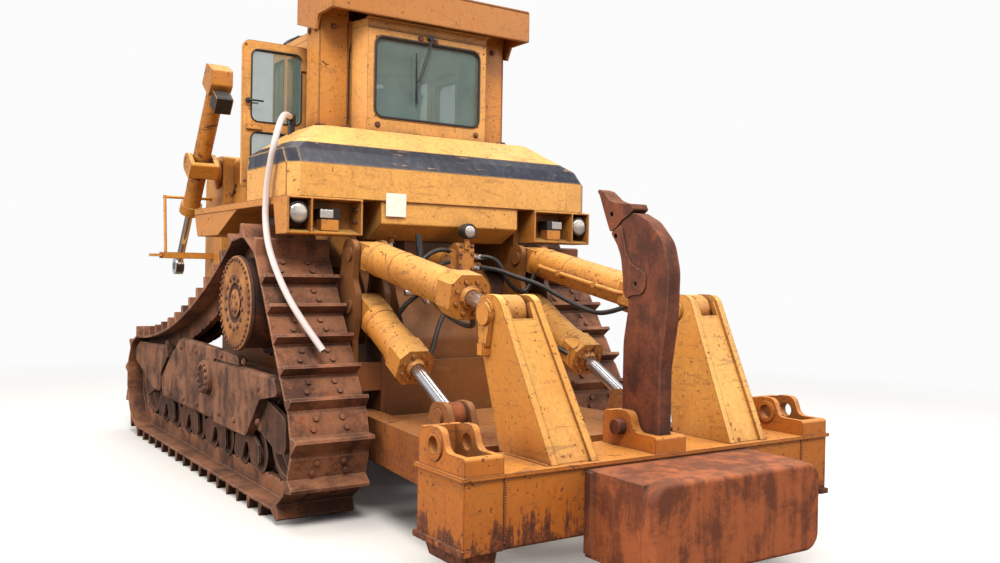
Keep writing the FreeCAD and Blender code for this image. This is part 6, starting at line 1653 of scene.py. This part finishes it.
@dataclass
class RipperDetails(Details):
    """Hoses, pipes, gland bolts, collars, eyes and welds of the ripper and its cylinders."""

    cylinder_side: float = 0.790
    tilt_head: tuple[float, float] = (-0.060, 1.997)
    tilt_pin: tuple[float, float] = (-2.030, 1.625)
    lift_head: tuple[float, float] = (-0.070, 1.590)
    lift_eye: tuple[float, float] = (-1.400, 0.905)
    tilt_end: float = 1.560
    lift_end: float = 0.900
    tilt_radius: float = 0.128
    lift_radius: float = 0.128
    hose_radius: float = 0.019

    def build(self) -> None:
        """Make the details of both sides."""
        for side in SIDES:
            self.make_tilt_barrel(side)
            self.make_lift_barrel(side)
            self.make_tower(side)
            self.make_eyes(side)
        self.make_pocket_rings()
        self.make_beam_welds()
        self.make_valve()
        self.make_hoses()
        self.make_push_welds()

    def tilt(self, side: float) -> Along:
        """Line of one tilt cylinder."""
        return Along(self.layout, side * self.cylinder_side, self.tilt_head, self.tilt_pin)

    def lift(self, side: float) -> Along:
        """Line of one lift cylinder."""
        return Along(self.layout, side * self.cylinder_side, self.lift_head, self.lift_eye)

    def gland(self, line: Along, end: float, rod: float, bolt_radius: float, name: str, body: str) -> None:
        """Bolts and the scraper collar on the end of a barrel.

        Args:
            line: The cylinder's line.
            end: Distance of the gland's rear face from the head pin.
            rod: The rod's radius.
            bolt_radius: Radius of the bolt circle.
            name: Name of the pieces.
            body: Body that they ride on.
        """
        places = [(tuple(line.point(end, bolt_radius, 22.5 + 45.0 * index)), tuple(line.ahead()))
                  for index in range(8)]
        self.bolts(name + "_gland_bolts", places, (0.027, 0.014, 0.018), "cylinder", body)
        collar = Bench.turned(name + "_collar", [(rod + 0.002, 0.0), (rod + 0.030, 0.0), (rod + 0.010, 0.030),
                                                 (rod + 0.002, 0.030)], 40)
        self.fit(placed(collar, line.ahead(), line.point(end)), "cylinder", body)

    def rings(self, line: Along, radius: float, places: Sequence[tuple[float, float]], name: str,
              body: str) -> None:
        """Weld rings round a barrel, each with its distance and its height."""
        made = [placed(Bench.ring(name + "_ring", radius, height, "Z", 48, 8), line.ahead(), line.point(distance))
                for distance, height in places]
        self.gather(name + "_rings", made, "cylinder", body)

    def pipe(self, line: Along, side: float, route: Sequence[tuple[float, float]], radius: float, name: str,
             body: str) -> None:
        """Pressure pipe on a barrel's inner side, with distances along and away from the barrel."""
        inner = 180.0 if side > 0 else 0.0
        points = [tuple(line.point(distance, out, inner)) for distance, out in route]
        self.fit(Bench.pipe(name + "_pipe", points, radius, 4), "cylinder", body)

    def make_tilt_barrel(self, side: float) -> None:
        """Gland bolts, weld rings, pressure pipe and its clamps on a tilt cylinder."""
        name = "tilt_" + SIDES[side]
        line = self.tilt(side)
        self.gland(line, self.tilt_end, 0.052, 0.112, name, "tilt_barrels")
        self.rings(line, self.tilt_radius, [(0.27, 0.006), (0.62, 0.004), (1.30, 0.007)], name, "tilt_barrels")
        self.pipe(line, side, [(0.34, 0.10), (0.34, 0.168), (0.42, 0.178), (0.80, 0.178), (1.24, 0.178),
                               (1.34, 0.178), (1.40, 0.160), (1.42, 0.130)], 0.017, name, "tilt_barrels")
        inner = 180.0 if side > 0 else 0.0
        clamps = []
        for distance in (0.66, 1.12):
            block = Bench.slab("pipe_clamp", (-0.022, -0.022, -0.045), (0.022, 0.022, 0.045), 0.004)
            way = line.point(distance, 1.0, inner) - line.point(distance, 0.0, inner)
            clamps.append(placed(block, way, line.point(distance, 0.158, inner)))
        self.gather(name + "_clamps", clamps, "cylinder", "tilt_barrels")

    def make_lift_barrel(self, side: float) -> None:
        """Gland bolts, weld rings and pipe of a lift cylinder."""
        name = "lift_" + SIDES[side]
        line = self.lift(side)
        self.gland(line, self.lift_end, 0.048, 0.106, name, "lift_barrels")
        self.rings(line, self.lift_radius, [(0.29, 0.006), (0.66, 0.007)], name, "lift_barrels")
        self.pipe(line, side, [(0.33, 0.10), (0.33, 0.160), (0.40, 0.172), (0.62, 0.172), (0.74, 0.168),
                               (0.78, 0.130)], 0.015, name, "lift_barrels")

    def make_tower(self, side: float) -> None:
        """Pin cover, retainer plate and bolts on a tower's outer face."""
        face = side * 0.884
        out = (side, 0.0, 0.0)
        forward, up = self.tilt_pin
        cover = Bench.turned("pin_cover", [(0.0001, -0.01), (0.068, -0.01), (0.068, 0.030), (0.060, 0.038),
                                           (0.0001, 0.040)], 36)
        self.fit(placed(cover, out, self.at(face + side * 0.022, forward, up)), "cover", "ripper_beam")
        retainer = Bench.slab("retainer", (-0.075, -0.030, 0.0), (0.075, 0.030, 0.022), 0.004)
        self.fit(placed(retainer, out, self.at(face + side * 0.012, forward + 0.005, up - 0.128)),
                 "tower", "ripper_beam")
        places = [(self.at(face + side * 0.034, forward + 0.005, up - 0.128 + shift), out)
                  for shift in (-0.045, 0.045)]
        self.bolts("retainer_bolts_" + SIDES[side], places, (0.032, 0.018, 0.024), body="ripper_beam")

    def make_eyes(self, side: float) -> None:
        """Painted and rusted eyes over the plated ends of both rods."""
        # name, pin, radius, half width, body, finish
        eyes = [
            ("tilt", self.tilt_pin, 0.1145, 0.0665, "tilt_rods", "cylinder"),
            ("lift", self.lift_eye, 0.0945, 0.0565, "lift_rods", "push"),
        ]
        for kind, pin, radius, half, body, finish in eyes:
            eye = Bench.turned(f"{kind}_eye_{SIDES[side]}", [
                (0.058, -half), (radius - 0.006, -half), (radius, -half + 0.006), (radius, half - 0.006),
                (radius - 0.006, half), (0.058, half)], 48)
            self.fit(placed(eye, ACROSS, self.at(side * self.cylinder_side, *pin)), finish, body)

    def make_pocket_rings(self) -> None:
        """Rings round the pin holes of the shank pockets."""
        profile = [(0.050, 0.0), (0.076, 0.0), (0.072, 0.012), (0.050, 0.014)]
        rings = [placed(Bench.turned("pocket_ring", profile, 36), (side * way, 0.0, 0.0),
                        self.at(side * face, -2.345, 0.925))
                 for side in SIDES for face, way in ((1.470, 1.0), (1.220, -1.0))]
        self.gather("pocket_rings", rings, "beam", "ripper_beam")

    def make_beam_welds(self) -> None:
        """Weld beads where the towers stand on the beam and along its rear edges."""
        welds = []
        for side in SIDES:
            welds += [Fasteners.weld("tower_weld", self.at(side * x, -2.20, 0.803), self.at(side * x, -2.62, 0.803),
                                     0.010) for x in (0.660, 0.905)]
            welds.append(Fasteners.weld("pocket_weld", self.at(side * 1.212, -2.657, 0.42),
                                        self.at(side * 1.212, -2.657, 0.78), 0.009))
        self.gather("beam_welds", welds, "beam", "ripper_beam")

    def make_valve(self) -> None:
        """Bolts and hose ends of the ripper's valve."""
        places = [(self.at(x, -0.110, up), REARWARD) for up in (1.78, 1.90, 2.02, 2.09) for x in (0.040, 0.150)]
        self.bolts("valve_bolts", places, (0.024, 0.014, 0.018))
        angles = [0.3 + 2.0 * math.pi * index / 8.0 for index in range(8)]
        places = [(self.at(-0.037 + 0.076 * math.cos(angle), -0.115, 1.970 + 0.076 * math.sin(angle)), REARWARD)
                  for angle in angles]
        self.bolts("dome_bolts", places, (0.018, 0.010))
        ends = [Fasteners.hose_end("valve_end", self.at(*place), way, self.hose_radius)
                for place, way in (((0.216 - 0.012, -0.075, 2.000), (1.0, -0.25, 0.0)),
                                   ((0.216 - 0.012, -0.075, 1.910), (1.0, -0.25, 0.0)),
                                   ((0.165, -0.09, 1.800), (1.0, -0.2, -0.3)))]
        self.gather("valve_hose_ends", ends, "fitting")

    def make_hoses(self) -> None:
        """Rubber hydraulic hoses from the valve to the four cylinders."""
        for name, (kind, side, end, route) in RIPPER_HOSES.items():
            line = self.tilt(side) if kind == "tilt" else self.lift(side)
            points = [self.at(*place) for place in route] + [tuple(line.point(*end))]
            self.fit(Bench.pipe(name, points, self.hose_radius, 5), "hydraulic")
        rising = [(-0.36, -0.10, 2.17), (-0.355, -0.12, 2.02), (-0.35, -0.16, 1.86), (-0.33, -0.15, 1.70)]
        self.fit(Bench.pipe("hose_rising", [self.at(*place) for place in rising], 0.026, 5), "hydraulic")
        elbow = [(-0.58, -0.30, 1.70), (-0.50, -0.30, 1.71), (-0.42, -0.30, 1.69), (-0.38, -0.30, 1.62)]
        self.fit(Bench.pipe("left_elbow", [self.at(*place) for place in elbow], 0.024, 5), "fitting")

    def make_push_welds(self) -> None:
        """Weld beads along the push block."""
        welds = [Fasteners.weld("push_weld", self.at(-0.60, -3.128, up), self.at(0.60, -3.128, up), 0.008)
                 for up in (0.300, 0.742)]
        self.gather("push_welds", welds, "push", "ripper_beam")


@dataclass
class BodyDetails(Details):
    """Shorter canopy, and fittings of posts, fenders, hood, radiator guard and lift cylinders."""

    canopy_front: float = 1.02

    def build(self) -> None:
        """Make all fittings of the superstructure."""
        self.make_canopy()
        self.make_post_fittings()
        self.make_canopy_fittings()
        self.make_fender_fittings()
        self.make_hood_fittings()
        self.make_front_fittings()
        self.make_rod_stems()

    def make_post_fittings(self) -> None:
        """Bolts of the posts' feet, welds up their corners, gussets at their tops and the cab's ledge."""
        at = self.at
        places = [(at(side * x, forward, 3.081), UPWARD)
                  for side in SIDES for x in (0.664, 0.935) for forward in (0.624, 0.906)]
        self.bolts("post_foot_bolts", places, (0.036, 0.022, 0.028))
        welds = [Fasteners.weld("post_weld", at(side * x, 0.641, 3.10), at(side * x, 0.641, 3.98), 0.0055)
                 for side in SIDES for x in (0.672, 0.920)]
        self.gather("post_welds", welds, "panel")
        gussets = []
        for side in SIDES:
            inner, outer = side * 0.662, side * 0.600
            corners = [at(inner, 0.645, 3.74), at(inner, 0.645, 3.995), at(outer, 0.645, 3.995),
                       at(outer + side * 0.012, 0.645, 3.90)]
            face = (0, 1, 2, 3) if side > 0 else (3, 2, 1, 0)
            gussets.append(Bench.sheet("post_gusset", corners, [face], 0.018))
        self.gather("post_gussets", gussets, "panel")
        self.fit(self.block("cab_ledge", (-0.600, 0.372, 3.986), (0.600, 0.430, 4.004), 0.005), "cab")

    def make_canopy(self) -> None:
        """Roof cut to the photograph's length, with the apron's rising lower edge, and its front wall."""
        cuts = [(self.at(0.0, self.canopy_front, 4.0), FORWARD), (self.at(0.0, 0.668, 3.890), (0.0, 0.28, -0.96))]
        shell = Bench.joined("canopy_shell", [cut_copy("canopy", cuts, True)])
        Bench.smooth(shell, 30.0)
        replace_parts(self.fit(shell, "roof"), "canopy")
        self.fit(self.block("canopy_front", (-0.946, self.canopy_front - 0.024, 3.996),
                            (0.946, self.canopy_front - 0.004, 4.262), 0.004), "roof")

    def make_canopy_fittings(self) -> None:
        """Lifting eyes on the roof and flanges along its rear edge."""
        profile = [(0.014, -0.008), (0.034, -0.008), (0.034, 0.008), (0.014, 0.008)]
        eyes = [placed(Bench.turned("lifting_eye", profile, 24), ACROSS, self.at(side * 0.80, forward, 4.272))
                for side in SIDES for forward in (0.45, 0.88)]
        self.gather("lifting_eyes", eyes, "roof")
        rails = [self.block("canopy_edge", (-0.965, 0.281, up - 0.007), (0.965, 0.287, up + 0.007), 0.002)
                 for up in (3.998, 4.262)]
        self.gather("canopy_edges", rails, "roof")

    def make_fender_fittings(self) -> None:
        """Tread plates on the fenders."""
        treads = [self.block("tread", (side * 0.86, forward, 2.4285), (side * 1.38, forward + 0.28, 2.436), 0.003)
                  for side in SIDES for forward in (1.10, 1.45, 1.80)]
        self.gather("fender_treads", treads, "black", "chassis", "trim")

    def make_hood_fittings(self) -> None:
        """Panels and latches on the hood's sides."""
        places = [(side, forward) for side in SIDES for forward in (2.42, 2.88, 3.34)]
        panels = [self.block("hood_panel", (side * 0.6195, forward, 2.48),
                             (side * 0.6245, forward + 0.42, 2.98), 0.002) for side, forward in places]
        latches = [(self.at(side * 0.6245, forward + 0.38, 2.73), (side, 0.0, 0.0)) for side, forward in places]
        self.gather("hood_panels", panels, "panel")
        self.bolts("hood_latches", latches, (0.042, 0.014, 0.034), "black")

    def make_front_fittings(self) -> None:
        """Bolts of the radiator guard."""
        places = [(self.at(side * 0.690, 4.4205, up), FORWARD)
                  for side in SIDES for up in (1.20, 1.60, 2.00, 2.40, 2.80)]
        self.bolts("guard_front_bolts", places, (0.036, 0.020, 0.028))

    def make_rod_stems(self) -> None:
        """Upper ends of the blade's lift rods, hidden in their barrels until the rods are drawn out."""
        for side, name in SIDES.items():
            line = self.blade_lift(side)
            stem = Bench.rod("blade_rod_stem_" + name, 0.042, 0.84, 32, 0.004)
            self.fit(placed(stem, line.ahead(), line.point(0.58)), "chrome", "blade_rod_" + name)


@dataclass
class HoseLine(Details):
    """Pale drain hose that hangs from the tank's filler over the track, cut off at its lower end."""

    radius: float = 0.025
    length: float = 2.644
    route: tuple[Point, ...] = (
        (-1.105, 0.800, 3.150), (-1.215, 0.620, 3.145), (-1.330, 0.400, 3.085), (-1.425, 0.230, 2.975),
        (-1.474, 0.190, 2.830), (-1.482, 0.245, 2.690), (-1.484, 0.305, 2.530), (-1.484, 0.330, 2.370),
        (-1.488, 0.316, 2.240), (-1.511, 0.190, 2.056), (-1.496, 0.069, 1.880), (-1.461, -0.048, 1.708),
        (-1.400, -0.168, 1.528), (-1.270, -0.335, 1.275))

    def build(self) -> None:
        Bench.clear()
        curve = bpy.data.curves.new("drain_hose", "CURVE")
        curve.dimensions = "3D"
        spline = curve.splines.new("NURBS")
        spline.points.add(len(self.route) - 1)
        for control, point in zip(spline.points, self.route):
            control.co = (*self.at(*point), 1.0)
        spline.order_u = 3
        spline.use_endpoint_u = True
        spline.resolution_u = 10
        curve.bevel_depth = self.radius
        curve.bevel_resolution = 6
        curve.use_fill_caps = True
        hose = bpy.data.objects.new("drain_hose", curve)
        bpy.context.collection.objects.link(hose)
        curve.materials.append(self.palette.materials["pale_hose"])
        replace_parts(hose, "hose")
        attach(hose, "chassis")
        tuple(self.at(*self.route[0]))
        LOG.info("made drain_hose")
        end = Vector(self.at(*self.route[-1]))
        way = (end - Vector(self.at(*self.route[-2]))).normalized()
        # Dark disc in the cut end: painted shade inside the hose's bore.
        bore_shade_disc = placed(Bench.rod("drain_hose_bore_shade", self.radius * 0.72, 0.002, 24), way, end + way * 0.0008)
        self.fit(bore_shade_disc, "seam", "chassis", "trim")


@dataclass
class SeatDetails(Details):
    """Driver's seat: two stuffed cushions on a plain base."""

    rear: float = 0.900
    top: float = 3.000
    floor: float = 2.452
    voxel: float = 0.009

    def build(self) -> None:
        """Make the base and the cushions."""
        at = self.at
        base = Bench.slab("seat_base", at(-0.200, self.rear + 0.12, self.floor),
                          at(0.200, self.rear + 0.56, self.top - 0.165), 0.012)
        self.fit(base, "trim")
        bottom = self.cushion("seat_cushion", (0.50, 0.50, 0.110), -4.0, (0.0, 0.355, -0.108))
        back = self.cushion("seat_backrest", (0.48, 0.100, 0.560), 9.0, (0.0, 0.095, 0.255))
        pads = Bench.joined("seat_pads", [bottom, back])
        Bench.smooth(pads, 60.0)
        self.fit(pads, "cloth")
        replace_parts(pads, "driver_seat")

    def cushion(self, name: str, size: Point, lean: float, middle: Point) -> bpy.types.Object:
        """A pad sewn as a box and blown up.

        Args:
            name: The pad's name.
            size: Its width, depth and height before filling.
            lean: Turn about the seat's width in degrees.
            middle: Its centre, from the seat's rear and its top.

        Returns:
            The pad.
        """
        Bench.clear()
        bpy.ops.mesh.primitive_cube_add(size=1.0, scale=size)
        pad = Bench.active(name)
        Bench.bevelled(pad, min(size) * 0.22, 3)
        Bench.modified(pad, "REMESH", {"mode": "VOXEL", "voxel_size": self.voxel})
        self.inflate(pad)
        turn = Matrix.Rotation(math.radians(lean), 4, "X")
        place = Matrix.Translation(self.at(middle[0], self.rear + middle[1], self.top + middle[2]))
        pad.data.transform(place @ turn)
        return pad

    def inflate(self, pad: bpy.types.Object) -> None:
        """Fill a pad with pressed air for a few frames of cloth, and keep the result."""
        Bench.clear()
        pad.select_set(True)
        bpy.context.view_layer.objects.active = pad
        cloth = pad.modifiers.new("Filling", "CLOTH")
        cloth.settings.use_pressure = True
        cloth.settings.uniform_pressure_force = 4.0
        cloth.settings.quality = 4
        cloth.settings.tension_stiffness = 40.0
        cloth.settings.compression_stiffness = 40.0
        cloth.settings.effector_weights.gravity = 0.0
        cloth.collision_settings.use_self_collision = False
        cloth.point_cache.frame_start = 1
        cloth.point_cache.frame_end = 14
        scene = bpy.context.scene
        for step in range(1, 15):
            scene.frame_set(step)
        bpy.ops.object.modifier_apply(modifier=cloth.name)
        scene.frame_set(1)


@dataclass
class Studio:
    """Plain floor, soft lamps and the camera of the photograph."""

    layout: Layout
    focal_px: float = 943.7
    image_width: int = 1000
    sensor: float = 36.0
    spot: Point = (-4.053, -6.817, 1.881)
    yaw: float = 33.79
    pitch: float = -0.61
    roll: float = 0.99
    floor_size: float = 120.0

    def build(self) -> None:
        """Make the floor, the lamps, the world and the camera."""
        self.make_floor()
        self.make_world()
        self.make_lamps()
        self.make_camera()

    def make_floor(self) -> None:
        """Pale matt floor that takes the shadow and fades into the backdrop."""
        Bench.clear()
        bpy.ops.mesh.primitive_plane_add(size=self.floor_size, location=(0.0, 0.0, 0.0))
        floor = Bench.active("studio_floor")
        matt = Shader("floor_matt")
        cloudy = matt.noise(0.35, 4.0, 0.5)
        base = matt.mixed(cloudy, linear(232, 229, 224), linear(226, 222, 216))
        body = matt.node("ShaderNodeBsdfPrincipled", None, {"Base Color": base, "Roughness": cloudy * 0.1 + 0.82})
        glow = matt.node("ShaderNodeEmission", None, {"Color": (0.97, 0.97, 0.97, 1.0), "Strength": 1.0})
        away = matt.scalar("ShaderNodeVectorMath", {"operation": "LENGTH"}, {0: matt.position}, "Value")
        seen = matt.scalar("ShaderNodeLightPath", None, None, "Is Camera Ray")
        dull = matt.node("ShaderNodeBsdfPrincipled", None, {"Base Color": linear(118, 104, 90), "Roughness": 0.9})
        shown = matt.node("ShaderNodeMixShader", None, {0: seen, 1: dull.outputs[0], 2: body.outputs[0]})
        faded = matt.node("ShaderNodeMixShader", None, {0: away.step(4.5, 13.0) * seen, 1: shown.outputs[0],
                                                        2: glow.outputs[0]})
        matt.node("ShaderNodeOutputMaterial", None, {"Surface": faded.outputs[0]})
        floor.data.materials.append(matt.material)

    def make_world(self) -> None:
        """Even sky light, white where the camera sees it."""
        world = bpy.data.worlds.new("studio")
        bpy.context.scene.world = world
        world.use_nodes = True
        tree = world.node_tree
        tree.nodes.clear()
        path = tree.nodes.new("ShaderNodeLightPath")
        seen = tree.nodes.new("ShaderNodeMath")
        seen.operation = "MAXIMUM"
        tree.links.new(path.outputs["Is Camera Ray"], seen.inputs[0])
        tree.links.new(path.outputs["Is Transmission Ray"], seen.inputs[1])
        sky = tree.nodes.new("ShaderNodeBackground")
        sky.inputs["Color"].default_value = (0.92, 0.95, 1.0, 1.0)
        sky.inputs["Strength"].default_value = 0.62
        white = tree.nodes.new("ShaderNodeBackground")
        white.inputs["Color"].default_value = (0.97, 0.97, 0.97, 1.0)
        white.inputs["Strength"].default_value = 1.0
        choice = tree.nodes.new("ShaderNodeMixShader")
        tree.links.new(seen.outputs[0], choice.inputs[0])
        tree.links.new(sky.outputs[0], choice.inputs[1])
        tree.links.new(white.outputs[0], choice.inputs[2])
        out = tree.nodes.new("ShaderNodeOutputWorld")
        tree.links.new(choice.outputs[0], out.inputs[0])

    def make_lamps(self) -> None:
        """Large soft lamps above and beside the machine."""
        # name, place, size, power
        lamps = [
            ("key_lamp", (-5.0, -9.5, 12.0), 5.0, 1900.0),
            ("fill_lamp", (9.0, -7.0, 7.0), 8.0, 420.0),
            ("top_lamp", (1.0, 2.0, 13.0), 10.0, 1000.0),
            ("left_lamp", (-12.0, 0.5, 5.5), 7.0, 900.0),
        ]
        for name, place, size, power in lamps:
            light = bpy.data.lights.new(name, "AREA")
            light.size = size
            light.energy = power
            light.color = (1.0, 0.97, 0.93)
            lamp = bpy.data.objects.new(name, light)
            bpy.context.collection.objects.link(lamp)
            lamp.location = place
            lamp.rotation_euler = (Vector((0.0, -0.5, 1.4)) - Vector(place)).to_track_quat("-Z", "Y").to_euler()

    def make_camera(self) -> None:
        """Camera fitted to the photograph."""
        data = bpy.data.cameras.new("photo_camera")
        data.sensor_width = self.sensor
        data.lens = self.focal_px * self.sensor / self.image_width
        data.clip_end = 300.0
        camera = bpy.data.objects.new("photo_camera", data)
        bpy.context.collection.objects.link(camera)
        yaw, pitch, roll = (math.radians(value) for value in (self.yaw, self.pitch, self.roll))
        ahead = Vector((math.sin(yaw) * math.cos(pitch), math.cos(yaw) * math.cos(pitch), math.sin(pitch)))
        level = Vector((math.cos(yaw), -math.sin(yaw), 0.0))
        upright = level.cross(ahead)
        right = level * math.cos(roll) + upright * math.sin(roll)
        up = upright * math.cos(roll) - level * math.sin(roll)
        turn = Matrix((right, up, -ahead)).transposed().to_4x4()
        camera.matrix_world = Matrix.Translation(Vector(self.layout.at(*self.spot))) @ turn
        bpy.context.scene.camera = camera


def main() -> None:
    """Dress the machine and set up the studio."""
    logging.basicConfig(level=logging.INFO, format="%(message)s")
    random.seed(7)
    layout = Layout()
    palette = Palette()
    NodeDresser(palette).apply()
    TankDetails(layout, palette).build()
    LampDetails(layout, palette).build()
    CabDetails(layout, palette).build()
    StackDetails(layout, palette).build()
    BodyDetails(layout, palette).build()
    DriveDetails(layout, palette).build()
    TrackHardware(layout, palette).build()
    RipperDetails(layout, palette).build()
    HoseLine(layout, palette).build()
    SeatDetails(layout, palette).build()
    Studio(layout).build()
    bpy.context.scene.view_settings.view_transform = "Standard"


if __name__ == "__main__":
    main()
